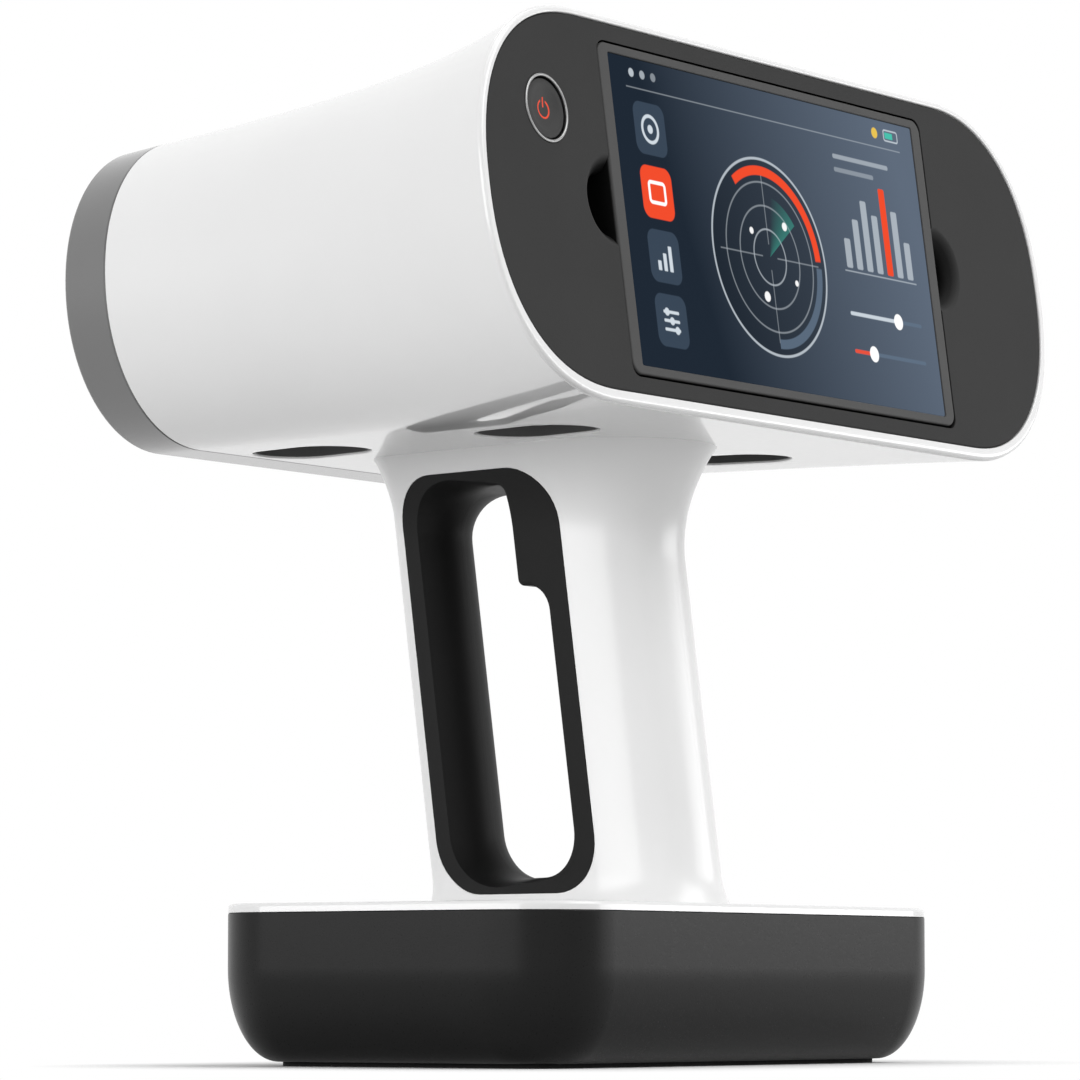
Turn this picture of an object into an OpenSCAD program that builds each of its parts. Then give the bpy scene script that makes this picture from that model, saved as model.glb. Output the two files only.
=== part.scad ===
// Handheld three-d scanner: a flared head with a tilting screen panel, a grip with a trigger
// and a base with a battery drawer. Millimetres.
// X runs to the right when facing the screen, Y forward along the scan, Z up from the floor.
// The origin is the middle of the base, on the floor.

/* [Rear face] */
// Width of the white rim round the rear face
face_w = 230; // [222:0.5:236]
// Height of the rim, measured up the leaning face
face_h = 88.6; // [86:0.2:92]
// Straight run along the rim's top and bottom
face_straight = 145.6; // [136:0.2:152]
// Squareness of the rounded ends, where 2 is an ellipse
face_power = 2.3; // [2:0.05:2.6]
// Lean of the face, top forward, in degrees
face_lean = 7.7; // [5:0.1:10]
// Distance from the base's middle back to the foot of the face
face_back = 61.8; // [60:0.2:66]
// Width of the white rim at the bezel's sides
rim_side = 2.5; // [2:0.1:6]
// Height of the white rim above and below the bezel
rim_end = 2.6; // [2.4:0.1:3.2]
// Height of the bezel's middle above the rim's middle
bezel_up = 0.6; // [0:0.1:1]
// Thickness of the bezel plate
bezel_t = 2.6; // [2.2:0.1:3]

/* [Head] */
// Height of the head's flat underside above the floor
head_z = 142.5; // [142:0.1:146]
// Distance from the base's middle forward to the foot of the front ring
front_y = 87.7; // [84:0.1:96]
// Width of the front ring
front_w = 164.4; // [158:0.2:174]
// Height of the front ring
front_h = 71.7; // [68:0.1:76]
// Straight run along the front ring's top and bottom
front_straight = 101.8; // [90:0.2:110]
// Squareness of the front ring's ends
front_power = 2.05; // [2:0.05:2.4]
// Lean of the front ring, top forward, in degrees
front_lean = 2.7; // [0:0.1:5]
// Share of the head's taper that is straight, the rest flares at the rear
taper_straight = 0.62; // [0.5:0.01:0.9]
// How late the flare starts
flare_power = 4; // [2:0.1:5]
// Wall of the head shell
head_wall = 2.4; // [2:0.1:2.8]
// Thickness of the head's floor
floor_t = 3.5; // [3:0.1:4.5]
// Width of the grey front ring along the scan
ring_w = 14.5; // [10:0.5:18]
// Wall of the front ring at its mouth
ring_wall = 4; // [3:0.1:5]

/* [Screen] */
// Strip of bezel above and below the screen panel
bezel_strip = 4.35; // [4:0.05:6]
// Thickness of the screen panel
panel_t = 8.5; // [7:0.1:9.5]
// Corner radius of the screen panel
panel_r = 3.2; // [2:0.1:5]
// Strip of bezel beside the screen panel
side_strip = 46; // [44:0.5:50]
// Border of the screen panel at the display's sides
border_side = 4; // [3:0.1:6]
// Border of the screen panel above and below the display
border_end = 2.2; // [2:0.1:4]
// Gap round the screen panel
panel_gap = 0.6; // [0.5:0.05:1]
// Diameter of the hinge pins at the panel's top
hinge_d = 2.4; // [2:0.1:3]
// Radius of the finger scoops at the panel's sides
scoop_r = 10.2; // [8:0.1:12]
// Diameter of the power button
button_d = 13.4; // [12:0.1:14]
// Travel of the power button
button_travel = 0.8; // [0.5:0.1:1.2]

/* [Grip] */
// Lean of the grip, top forward, in degrees
grip_lean = 7.7; // [4:0.1:10]
// Thickness of the palm, side to side
palm_t = 33; // [30:0.2:36]
// Half-depth of the palm's rounded back
palm_d = 18; // [16:0.2:20]
// Thickness of the grip's front edge, side to side
grip_t = 20; // [18:0.2:24]
// Wall of the grip shells
grip_wall = 3; // [2.5:0.1:3.4]
// Clear width of the finger hole
hole_w = 37.4; // [34:0.2:42]
// Place of the finger hole's rear edge along the scan, 100 mm up
hole_rear = -1.3; // [-3:0.1:1]
// Clear height of the finger hole
hole_h = 91; // [84:0.5:92]
// Corner radius of the finger hole
hole_r = 8; // [5:0.5:12]
// Height of the finger hole's foot above the floor
hole_z = 42.8; // [41:0.1:44]
// Width of the black liner's rim beside the hole
liner_side = 6.4; // [5:0.1:7]
// Width of the black liner's rim above and below the hole
liner_end = 3.6; // [3:0.1:4]
// Depth of white palm behind the liner
palm_back = 19.5; // [18:0.1:21]
// Depth of white grip in front of the liner
grip_nose = 7; // [5:0.2:9]
// Reach of the trigger block into the hole
trigger_reach = 8.8; // [7:0.1:11]
// Height of the trigger block
trigger_h = 23.6; // [18:0.2:26]
// Width of the moving trigger
trigger_w = 12; // [10:0.2:13]
// Travel of the trigger
trigger_travel = 2; // [1:0.1:2.2]

/* [Base] */
// Width of the base
base_w = 164; // [156:0.5:172]
// Depth of the base
base_d = 102; // [98:0.5:108]
// Corner radius of the base
base_r = 22; // [18:0.5:28]
// Height of the charcoal tub's top above the floor
tub_top = 34.3; // [33:0.1:37]
// Thickness of the white base plate
plate_t = 2; // [1.6:0.1:3]
// Height of the tub's rounded lower edge
edge_h = 21; // [17:0.5:25]
// Width of the tub's rounded lower edge
edge_w = 11.5; // [9:0.5:15]
// Thickness of the foot pad under the tub
pad_t = 1; // [0.8:0.1:2]
// Wall of the tub
tub_wall = 2.6; // [2:0.1:4]
// Width of the battery drawer
drawer_w = 100; // [97:0.5:104]
// Space over the battery cells in the drawer
cell_head = 0.8; // [0.4:0.1:1.6]

/* [Optics and cooling] */
// Length of the vents in the underside
vent_l = 32; // [28:0.2:36]
// Width of the vents
vent_w = 20; // [17:0.2:22]
// Turn of the vents towards the front's middle, in degrees
vent_turn = 10; // [0:1:16]
// Distance of the rear vents from the middle
vent_x = 38.3; // [36:0.1:42]
// Distance of the front vents from the middle
vent_front_x = 33; // [30:0.1:40]
// Place of the rear vents along the scan
vent_rear_y = -14; // [-18:0.5:-10]
// Place of the front vents along the scan
vent_front_y = 55; // [50:0.5:58]
// Diameter of the projector's window
projector_d = 32; // [28:0.2:34]
// Diameter of a camera's window
camera_d = 24; // [20:0.2:26]
// Distance of the cameras from the middle
camera_x = 52; // [48:0.2:56]
// Number of lamps round the projector
lamp_count = 12; // [8:1:12]

/* [Hidden] */

// Colours
white_gloss = [0.89, 0.89, 0.89];
ring_grey = [0.45, 0.45, 0.46];
bezel_grey = [0.27, 0.27, 0.27];
panel_grey = [0.35, 0.35, 0.35];
glass_navy = [0.12, 0.16, 0.21];
liner_black = [0.14, 0.14, 0.14];
tub_charcoal = [0.19, 0.19, 0.19];
optic_black = [0.06, 0.06, 0.07];
board_green = [0.1, 0.32, 0.2];
bare_metal = [0.7, 0.7, 0.72];
steel = [0.6, 0.6, 0.62];
cell_blue = [0.2, 0.35, 0.6];
brass = [0.8, 0.65, 0.3];
lamp_white = [0.95, 0.93, 0.8];

// Clearances
fit_gap = 0.1;
run_gap = 0.05;
slide_gap = 0.3;

// Facets
end_steps = 24;
head_steps = 12;
grip_steps = 40;
corner_steps = 7;
edge_steps = 7;
round_fn = 48;

// Small hardware
screw_d = 3;
screw_head_d = 5.6;
screw_head_h = 2.2;
board_t = 1.6;

function lerp(a, b, t) = a + (b - a) * t;

// Head sections: u runs from 0 at the rear rim to 1 at the front ring's mouth
function taper(u) = taper_straight * (1 - u) + (1 - taper_straight) * pow(1 - u, flare_power);
function head_half_w(u) = lerp(front_w, face_w, taper(u)) / 2;
function head_h(u) = lerp(front_h, face_h, taper(u));
function head_straight(u) = lerp(front_straight, face_straight, taper(u)) / 2;
function head_power(u) = lerp(face_power, front_power, u);
function head_lean(u) = lerp(face_lean, front_lean, u);
function head_y(u) = lerp(-face_back, front_y, u);
function on_section(u, x, v) = [x, head_y(u) + v * sin(head_lean(u)), head_z + v * cos(head_lean(u))];
// Point off a section: x and y from its middle, z behind the head's rear side of it
function off_section(u, mid, x, y, z) = on_section(u, x, mid + y)
    + [0, -z * cos(head_lean(u)), z * sin(head_lean(u))];
// Outline with a straight run and superelliptic ends, centred on zero
function stadium(half_w, half_h, half_run, power) = [for (side = [1, -1], i = [0:end_steps])
    let (q = 180 * i / end_steps - 90, c = cos(q), d = sin(q))
    [side * (half_run + (half_w - half_run) * pow(abs(c), 2 / power)),
     side * sign(d) * half_h * pow(abs(d), 2 / power)]];
function head_ring(u) = [for (p = stadium(head_half_w(u), head_h(u) / 2, head_straight(u), head_power(u)))
    on_section(u, p[0], p[1] + head_h(u) / 2)];
// Inner wall: the floor stays level at floor_z
function head_inner(u) = let (low = floor_t / cos(head_lean(u)), half = (head_h(u) - head_wall - low) / 2)
    [for (p = stadium(head_half_w(u) - head_wall, half, head_straight(u), head_power(u)))
        on_section(u, p[0], p[1] + low + half)];
floor_z = head_z + floor_t;
head_len = front_y + face_back;
ring_u = 1 - ring_w / head_len;
// Sections crowd towards the flare
function section_u(k) = ring_u * pow(k / head_steps, 1.6);

// Rear face, from the rim inwards
bezel_w = face_w - 2 * rim_side;
bezel_h = face_h - 2 * rim_end;
panel_w = bezel_w - 2 * side_strip;
panel_h = bezel_h - 2 * bezel_strip;
glass_w = panel_w - 2 * border_side;
glass_h = panel_h - 2 * border_end;
well_wall = 3;
well_end_wall = 1.6;
corner_ease = 1;
seat_gap = 0.15;

// Rear face frame: x along X, y up the face, z out of the face
bezel_mid = face_h / 2 + bezel_up;
module on_face() translate(on_section(0, 0, bezel_mid)) rotate([90 - face_lean, 0, 0]) children();
function face_ring(outline, z) = [for (p = outline) off_section(0, bezel_mid, p[0], p[1], z)];
bezel_drop = 0.3;
bezel_out = stadium(bezel_w / 2, bezel_h / 2, face_straight / 2, face_power);
mouth_out = stadium(bezel_w / 2 + fit_gap, bezel_h / 2 + fit_gap, face_straight / 2, face_power);
mouth_depth = bezel_drop + bezel_t;
seat_in = bezel_strip - panel_gap - well_end_wall - seat_gap;
seat_out = stadium(bezel_w / 2 - seat_in, bezel_h / 2 - seat_in, face_straight / 2, face_power);

// Front frame: x along X, y up the ring, z back into the head
module on_front() translate(on_section(1, 0, front_h / 2)) rotate([90 - front_lean, 0, 0]) children();
lip_depth = 2.5;
lip_w = 1.5;
ring_draft = 1;
front_t = 3;
panel_back = lip_depth + front_t;
function front_inner(shrink) =
    stadium(front_w / 2 - shrink, front_h / 2 - shrink, front_straight / 2, front_power);
function front_ring_at(u, shrink, z) = [for (p = front_inner(shrink))
    off_section(u, head_h(u) / 2, p[0], p[1], z)];

// Closed tube of rings, the last ring joins the first
module tube_loft(rings) {
    n = len(rings[0]);
    m = len(rings);
    polyhedron(points = [for (r = rings, p = r) p],
        faces = [for (k = [0:m - 1], i = [0:n - 1])
            let (a = k * n + i, b = k * n + (i + 1) % n, s = ((k + 1) % m) * n)
            each [[a, b, s + (i + 1) % n], [a, s + (i + 1) % n, s + i]]]);
}

// Solid of rings with a flat cap at each end
module solid_loft(rings) {
    n = len(rings[0]);
    m = len(rings);
    polyhedron(points = [for (r = rings, p = r) p],
        faces = concat([[for (i = [n - 1:-1:0]) i]],
            [for (k = [0:m - 2], i = [0:n - 1])
                let (a = k * n + i, b = k * n + (i + 1) % n)
                each [[a, b, b + n], [a, b + n, a + n]]],
            [[for (i = [0:n - 1]) (m - 1) * n + i]]));
}

// Plate with round corners, on its middle, from z 0 up
module round_plate(w, d, h, r) {
    translate([-w / 2 + r, -d / 2, 0]) cube([w - 2 * r, d, h]);
    translate([-w / 2, -d / 2 + r, 0]) cube([w, d - 2 * r, h]);
    for (x = [-1, 1], y = [-1, 1])
        translate([x * (w / 2 - r), y * (d / 2 - r), 0]) cylinder(h = h, r = r, $fn = round_fn);
}

// Plate with round ends along y, from z low up
module oval(l, w, h, low) {
    box([w, l - w, h], [0, 0, low]);
    for (y = [-1, 1]) rod(w, h, [0, y * (l - w) / 2, low]);
}

module box(size, at) translate(at - [size[0] / 2, size[1] / 2, 0]) cube(size);

module rod(d, h, at) translate(at) cylinder(h = h, d = d, $fn = round_fn);

// Head

module head_shell() color(white_gloss) difference() {
    tube_loft(concat(
        [for (k = [0:head_steps]) head_ring(section_u(k))],
        [for (k = [head_steps:-1:2]) head_inner(section_u(k))],
        [face_ring(seat_out, -mouth_depth), face_ring(mouth_out, -mouth_depth), face_ring(mouth_out, 0)]));
    at_vents() oval(vent_l, vent_w, 4 * floor_t, head_z - floor_t);
    rod(spigot_d + 2 * fit_gap, 4 * floor_t, [0, spigot_y, head_z - floor_t]);
    for (p = neck_places) rod(screw_d + 2 * fit_gap, 4 * floor_t, [p[0], p[1], head_z - floor_t]);
}

module front_ring() color(ring_grey) tube_loft(concat(
    [for (k = [0:3]) head_ring(lerp(ring_u, 1, k / 3))],
    [front_ring_at(1, ring_wall + lip_w, 0), front_ring_at(1, ring_wall + lip_w, lip_depth),
     front_ring_at(1, ring_wall, lip_depth), front_ring_at(ring_u, ring_wall - ring_draft, 0)]));

// Front optics

lamp_circle_d = 48;
lamp_d = 5;
lamp_flange_d = 6.4;
lamp_flange_t = 2;
lamp_depth = 0.2;
window_t = 2;
hood_w = 2.4;
hood_out = 1.6;
bench_w = 146;
bench_h = 44;
bench_t = 4;
bench_r = 4;
bench_depth = 22;
bench_post_d = 6;
bench_post_x = 35;
bench_post_y = 18;
barrel_wall = 2;
barrel_front = lip_depth + window_t + fit_gap;
lens_t = 3;
projector_body = [44, 40, 34];
camera_body = [32, 34, 24];
flash_over = 4;
flash_clear = 0.5;

module front_panel() color(optic_black) on_front() difference() {
    translate([0, 0, lip_depth]) linear_extrude(front_t) polygon(front_inner(ring_wall + fit_gap));
    rod(projector_d, 4 * front_t, [0, 0, 0]);
    for (x = [-1, 1]) rod(camera_d, 4 * front_t, [x * camera_x, 0, 0]);
    lamp_ring() rod(lamp_d + 2 * fit_gap, 4 * front_t, [0, 0, 0]);
}

module lamp_ring() for (i = [0:lamp_count - 1])
    rotate(360 * (i + 0.5) / lamp_count) translate([lamp_circle_d / 2, 0, 0]) children();

module projector_window() color(glass_navy) on_front()
    rod(projector_d - 2 * fit_gap, window_t, [0, 0, lip_depth]);

module projector_hood() color(bare_metal) on_front() difference() {
    rod(projector_d + 2 * hood_w, hood_out, [0, 0, lip_depth - hood_out]);
    rod(projector_d - hood_w, 4 * hood_out, [0, 0, lip_depth - 2 * hood_out]);
}

module camera_windows() color(glass_navy) on_front() for (x = [-1, 1])
    rod(camera_d - 2 * fit_gap, window_t, [x * camera_x, 0, lip_depth]);

module optical_bench() color(bare_metal) on_front() difference() {
    union() {
        translate([0, 0, bench_depth]) round_plate(bench_w, bench_h, bench_t, bench_r);
        for (x = [-1, 1], y = [-1, 1])
            rod(bench_post_d, bench_depth - panel_back, [x * bench_post_x, y * bench_post_y, panel_back]);
    }
    rod(projector_d, 3 * bench_depth, [0, 0, 0]);
    for (x = [-1, 1]) rod(camera_d, 3 * bench_depth, [x * camera_x, 0, 0]);
}

// Optical unit: a body behind the bench and a lens barrel through it
module optical_unit(x, window_d, body) color(optic_black) on_front() translate([x, 0, 0]) {
    box(body, [0, 0, bench_depth + bench_t]);
    difference() {
        rod(window_d - 2 * fit_gap, bench_depth + bench_t - barrel_front, [0, 0, barrel_front]);
        rod(window_d - 2 * barrel_wall, bench_depth - barrel_front, [0, 0, 0]);
    }
    translate([0, 0, bench_depth - barrel_front])
        cylinder(h = lens_t, d1 = window_d / 2, d2 = window_d - barrel_wall, $fn = round_fn);
}

module projector_module() optical_unit(0, projector_d, projector_body);

module camera_left() optical_unit(-camera_x, camera_d, camera_body);

module camera_right() optical_unit(camera_x, camera_d, camera_body);

module flash_board() color(board_green) on_front() difference() {
    rod(lamp_circle_d + 2 * flash_over, board_t, [0, 0, panel_back + lamp_flange_t]);
    rod(projector_d + 2 * flash_clear, 4 * panel_back, [0, 0, 0]);
}

module flash_lamps() color(lamp_white) on_front() lamp_ring() {
    rod(lamp_d, panel_back - lip_depth - lamp_depth, [0, 0, lip_depth + lamp_depth]);
    rod(lamp_flange_d, lamp_flange_t, [0, 0, panel_back]);
}

// Cooling

vent_places = [for (x = [-1, 1], p = [[vent_x, vent_rear_y], [vent_front_x, vent_front_y]]) [x * p[0], p[1]]];
grille_flange_t = 1.2;
grille_flange_over = 2;
grille_sunk = 1;
grille_rim = 2;
slot_pitch = 3.6;
slot_w = 2.4;
slots_each_side = 2;
fan_w = 30;
fan_h = 9;
fan_hub_d = 12;
fan_bore_d = 27.4;
fan_shaft_d = 2;
fan_strut_w = 2;
fan_strut_t = 1.6;
fan_blades = 7;
fan_tip_gap = 0.6;
fan_corner_r = 3;
blade_pitch = 40;
blade_t = 1;
fan_z = floor_z + grille_flange_t;

module at_vents() for (p = vent_places) translate([p[0], p[1], 0]) rotate(sign(p[0]) * vent_turn) children();

module vent_grilles() color(optic_black) at_vents() difference() {
    union() {
        oval(vent_l - 2 * fit_gap, vent_w - 2 * fit_gap, floor_t - grille_sunk, head_z + grille_sunk);
        oval(vent_l + 2 * grille_flange_over, vent_w + 2 * grille_flange_over, grille_flange_t, floor_z);
    }
    for (i = [-slots_each_side:slots_each_side]) grille_slot(i * slot_pitch);
}

module grille_slot(x) let (run = vent_l - vent_w + 2 * sqrt(pow(vent_w / 2 - grille_rim, 2) - x * x))
    box([slot_w, run, 3 * floor_t], [x, 0, head_z]);

module fan_frame(x) color(optic_black) translate([x, vent_rear_y, fan_z]) {
    difference() {
        round_plate(fan_w, fan_w, fan_h, fan_corner_r);
        rod(fan_bore_d, 3 * fan_h, [0, 0, -fan_h]);
    }
    difference() {
        union() {
            for (a = [0, 60, 120]) rotate(a)
                box([fan_bore_d + 1, fan_strut_w, fan_strut_t], [0, 0, fan_h - fan_strut_t]);
            rod(fan_hub_d, fan_strut_t, [0, 0, fan_h - fan_strut_t]);
        }
        rod(fan_shaft_d + 2 * run_gap, 3 * fan_h, [0, 0, 0]);
    }
}

module fan_frame_left() fan_frame(-vent_x);

module fan_frame_right() fan_frame(vent_x);

module fan_rotor(x) color(optic_black) translate([x, vent_rear_y, fan_z]) {
    rotor_h = fan_h - fan_strut_t - 2 * slide_gap;
    rod(fan_hub_d, rotor_h, [0, 0, slide_gap]);
    rod(fan_shaft_d, fan_h - slide_gap, [0, 0, slide_gap]);
    for (i = [0:fan_blades - 1]) rotate(360 * i / fan_blades) intersection() {
        translate([fan_hub_d / 2 - blade_t, 0, slide_gap + rotor_h / 2]) rotate([blade_pitch, 0, 0])
            translate([0, -rotor_h, -blade_t / 2]) cube([fan_bore_d / 2, 2 * rotor_h, blade_t]);
        rod(fan_bore_d - 2 * fan_tip_gap, rotor_h, [0, 0, slide_gap]);
    }
}

module fan_rotor_left() fan_rotor(-vent_x);

module fan_rotor_right() fan_rotor(vent_x);

// Neck between head and grip

neck_plate_t = 2.5;
neck_plate_w = 34;
neck_plate_over = 10;
neck_plate_r = 6;
neck_screw_x = 6.5;
spigot_d = 16;
spigot_wall = 2;
spigot_y = -9;
spigot_in = 3;
neck_front_y = 46;
neck_rear_y = 16;
neck_places = [for (x = [-1, 1], y = [neck_front_y, neck_rear_y]) [x * neck_screw_x, y]];
neck_top = floor_z + neck_plate_t;

module neck_bracket() color(bare_metal) difference() {
    union() {
        translate([0, lerp(spigot_y, neck_front_y, 0.5), floor_z])
            round_plate(neck_plate_w, neck_front_y - spigot_y + 2 * neck_plate_over, neck_plate_t,
                neck_plate_r);
        rod(spigot_d, neck_top - head_z + spigot_in, [0, spigot_y, head_z - spigot_in]);
    }
    rod(spigot_d - 2 * spigot_wall, 4 * spigot_d, [0, spigot_y, head_z - 2 * spigot_d]);
    for (p = neck_places) rod(screw_d + 2 * fit_gap, 4 * neck_plate_t, [p[0], p[1], floor_z - neck_plate_t]);
}

neck_screw_l = 9.2;

module neck_screws() color(steel) for (p = neck_places) translate([p[0], p[1], 0]) {
    rod(screw_head_d, screw_head_h, [0, 0, neck_top]);
    rod(screw_d, neck_screw_l, [0, 0, neck_top - neck_screw_l]);
}

// Rear bezel and screen

hinge_in = 3.2;
hinge_back = 2.9;
swing_gap = 0.9;
// The panel's top edge swings back past the hinge
well_depth = bezel_drop + hinge_back + norm([panel_t - hinge_back, hinge_in]) + swing_gap;
well_floor_t = 2;
well_w = panel_w + 2 * panel_gap;
well_h = panel_h + 2 * panel_gap;
scoop_up = 1;
scoop_depth = 10;
scoop_wall = 2;
button_in = 24.1;
button_x = button_in - bezel_w / 2;
button_y = 18.8;
button_ring_d = 15.4;
button_ring_t = 1.4;
button_ring_out = 0.3;
hinge_y = panel_h / 2 - hinge_in;
hinge_z = -bezel_drop - hinge_back;
hinge_l = 8;
hinge_hold = well_wall - 0.4;

module rear_bezel() color(bezel_grey) on_face() difference() {
    union() {
        translate([0, 0, -mouth_depth]) linear_extrude(bezel_t) polygon(bezel_out);
        translate([0, 0, -well_depth - well_floor_t])
            round_plate(well_w + 2 * well_wall, well_h + 2 * well_end_wall, well_depth,
                panel_r + well_end_wall);
        for (x = [-1, 1])
            rod(2 * (scoop_r + scoop_wall), well_depth,
                [x * panel_w / 2, scoop_up, -well_depth - well_floor_t]);
    }
    translate([0, 0, -well_depth]) round_plate(well_w, well_h, 2 * well_depth, panel_r - corner_ease);
    for (x = [-1, 1]) {
        rod(2 * scoop_r, 2 * scoop_depth, [x * panel_w / 2, scoop_up, -scoop_depth]);
        translate([x * (well_w / 2 - 1), hinge_y, hinge_z]) rotate([0, x * 90, 0])
            rod(hinge_d, hinge_hold + 1, [0, 0, 0]);
    }
    rod(button_d + 2 * slide_gap, 4 * bezel_t, [button_x, button_y, -3 * bezel_t]);
    rod(button_ring_d + 2 * fit_gap, 4 * bezel_t, [button_x, button_y, -bezel_drop - button_ring_t]);
}

module hinge_pins() color(steel) on_face() for (x = [-1, 1])
    translate([x * (well_w / 2 + hinge_hold - hinge_l), hinge_y, hinge_z]) rotate([0, x * 90, 0])
        rod(hinge_d, hinge_l, [0, 0, 0]);

glass_t = 1.2;
glass_drop = 0.2;
module_t = 3;
screen_back_t = 1.5;
screen_edge_r = 2;
pocket_wall = 1.6;
pocket_side = 3.6;
module_gap = 0.5;
screen_board_in = 10;

module screen_frame() color(panel_grey) on_face() translate([0, 0, -bezel_drop]) difference() {
    translate([0, 0, -panel_t]) round_plate(panel_w, panel_h, panel_t, panel_r);
    translate([0, 0, -glass_t - glass_drop])
        box([glass_w + 2 * fit_gap, glass_h + 2 * fit_gap, panel_t], [0, 0, 0]);
    translate([0, 0, screen_back_t - panel_t])
        box([glass_w - 2 * pocket_side, glass_h - 2 * pocket_wall, panel_t], [0, 0, 0]);
    translate([-panel_w, panel_h / 2 - screen_edge_r, -screen_edge_r]) difference() {
        cube([2 * panel_w, 2 * screen_edge_r, 2 * screen_edge_r]);
        rotate([0, 90, 0]) rod(2 * screen_edge_r, 4 * panel_w, [0, 0, -panel_w]);
    }
    for (x = [-1, 1]) translate([x * (panel_w / 2 + 1), hinge_y, -hinge_back]) rotate([0, -x * 90, 0])
        rod(hinge_d + 2 * run_gap, hinge_l, [0, 0, 0]);
}

module display_glass() color(glass_navy) on_face() translate([0, 0, -bezel_drop - glass_drop - glass_t])
    box([glass_w, glass_h, glass_t], [0, 0, 0]);

module display_module() color(bare_metal) on_face()
    translate([0, 0, -bezel_drop - glass_drop - glass_t - module_t])
        box([glass_w - 2 * (pocket_side + module_gap), glass_h - 2 * (pocket_wall + module_gap), module_t],
            [0, 0, 0]);

module screen_board() color(board_green) on_face() translate([0, 0, -bezel_drop - panel_t + screen_back_t])
    box([glass_w - 2 * screen_board_in, glass_h - 2 * screen_board_in, board_t], [0, 0, 0]);

button_h = 3.6;
stem_d = 4;
stem_l = 3;
button_low = 0.2;
dish_r = 30;
dish_depth = 0.5;
switch_gap = 0.2;
switch_w = 12;

module button_ring() color(bare_metal) on_face() difference() {
    rod(button_ring_d, button_ring_t + button_ring_out, [button_x, button_y, -bezel_drop - button_ring_t]);
    rod(button_d + 2 * slide_gap, 4 * bezel_t, [button_x, button_y, -2 * bezel_t]);
}

module power_button() color(bezel_grey) on_face() translate([button_x, button_y, -bezel_drop - button_low])
    difference() {
        union() {
            rod(button_d, button_h, [0, 0, -button_h]);
            rod(stem_d, button_h + stem_l, [0, 0, -button_h - stem_l]);
        }
        translate([0, 0, dish_r - dish_depth]) sphere(r = dish_r, $fn = round_fn);
    }

// The switch stands on a bracket that hangs behind the bezel
switch_top = bezel_drop + button_low + button_h + stem_l + button_travel + switch_gap;
switch_t = 2;
bracket_t = 2;
bracket_gap = 3;
bracket_y = button_d / 2 + bracket_gap;
button_spring_d = 10;
button_spring_w = 1.2;

module button_spring() color(steel) on_face() translate([button_x, button_y, -switch_top - switch_t])
    difference() {
        rod(button_spring_d, stem_l + button_travel + switch_gap + switch_t, [0, 0, 0]);
        rod(button_spring_d - 2 * button_spring_w, 4 * switch_top, [0, 0, -switch_top]);
    }

module button_switch() color(board_green) on_face() translate([button_x, button_y, 0]) {
    box([switch_w, 2 * bracket_y + bracket_t, board_t], [0, 0, -switch_top - switch_t - board_t]);
    rod(stem_d, switch_t, [0, 0, -switch_top - switch_t]);
    for (y = [-1, 1]) box([switch_w, bracket_t, switch_top + switch_t - mouth_depth],
        [0, y * bracket_y, -switch_top - switch_t]);
}

// Electronics behind the screen

spacer_l = 8;
spacer_d = 6;
spacer_in = 6;
main_w = 140;
main_h = 62;
main_z = -well_depth - well_floor_t - spacer_l - board_t;
chip_w = 26;
chip_t = 2.4;
sink_w = 54;
sink_h = 48;
sink_base_t = 3;
sink_fin_l = 14;
sink_fins = 9;
fin_t = 1.6;
fin_pitch = (sink_w - fin_t) / (sink_fins - 1);
drive_size = [22, 42, 3];
radio_size = [20, 36, 2];
card_x = 48;

module main_board() color(board_green) on_face() box([main_w, main_h, board_t], [0, 0, main_z]);

module board_spacers() color(brass) on_face() for (x = [-1, 1], y = [-1, 1])
    rod(spacer_d, spacer_l, [x * (main_w / 2 - spacer_in), y * (main_h / 2 - spacer_in), main_z + board_t]);

module processor() color(optic_black) on_face() box([chip_w, chip_w, chip_t], [0, 0, main_z - chip_t]);

module heat_sink() color(bare_metal) on_face() translate([0, 0, main_z - chip_t - sink_base_t]) {
    box([sink_w, sink_h, sink_base_t], [0, 0, 0]);
    for (i = [0:sink_fins - 1])
        box([fin_t, sink_h, sink_fin_l], [i * fin_pitch - (sink_w - fin_t) / 2, 0, -sink_fin_l]);
}

module memory_drive() color(optic_black) on_face() box(drive_size, [card_x, 0, main_z - drive_size[2]]);

module antenna_board() color(board_green) on_face() box(radio_size, [-card_x, 0, main_z - radio_size[2]]);

// Grip

plate_top = tub_top + plate_t;
lean_run = tan(grip_lean);
lean_from = 100;
function leaned(y, z) = y + (z - lean_from) * lean_run;
// Places along the grip, given at the height lean_from
hole_front = hole_rear + hole_w;
liner_rear = hole_rear - liner_side;
liner_front = hole_front + liner_side;
nose_y = liner_front + grip_nose;
palm_y = palm_d + liner_rear - palm_back;
hole_top = hole_z + hole_h;

// Flare where the grip meets the head, and a small one at its foot
top_flare_rear = 11;
top_flare_front = 2.2;
flare_rear_h = 28;
flare_front_h = 13;
foot_flare = 1.4;
foot_flare_h = 7;
function grip_flare(q, z) = let (back = (1 + sin(q)) / 2,
        reach = lerp(flare_front_h, flare_rear_h, back),
        up = max(0, (z - head_z + reach) / reach),
        down = max(0, (plate_top + foot_flare_h - z) / foot_flare_h))
    lerp(top_flare_front, top_flare_rear, back) * up * up + foot_flare * down * down;
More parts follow.
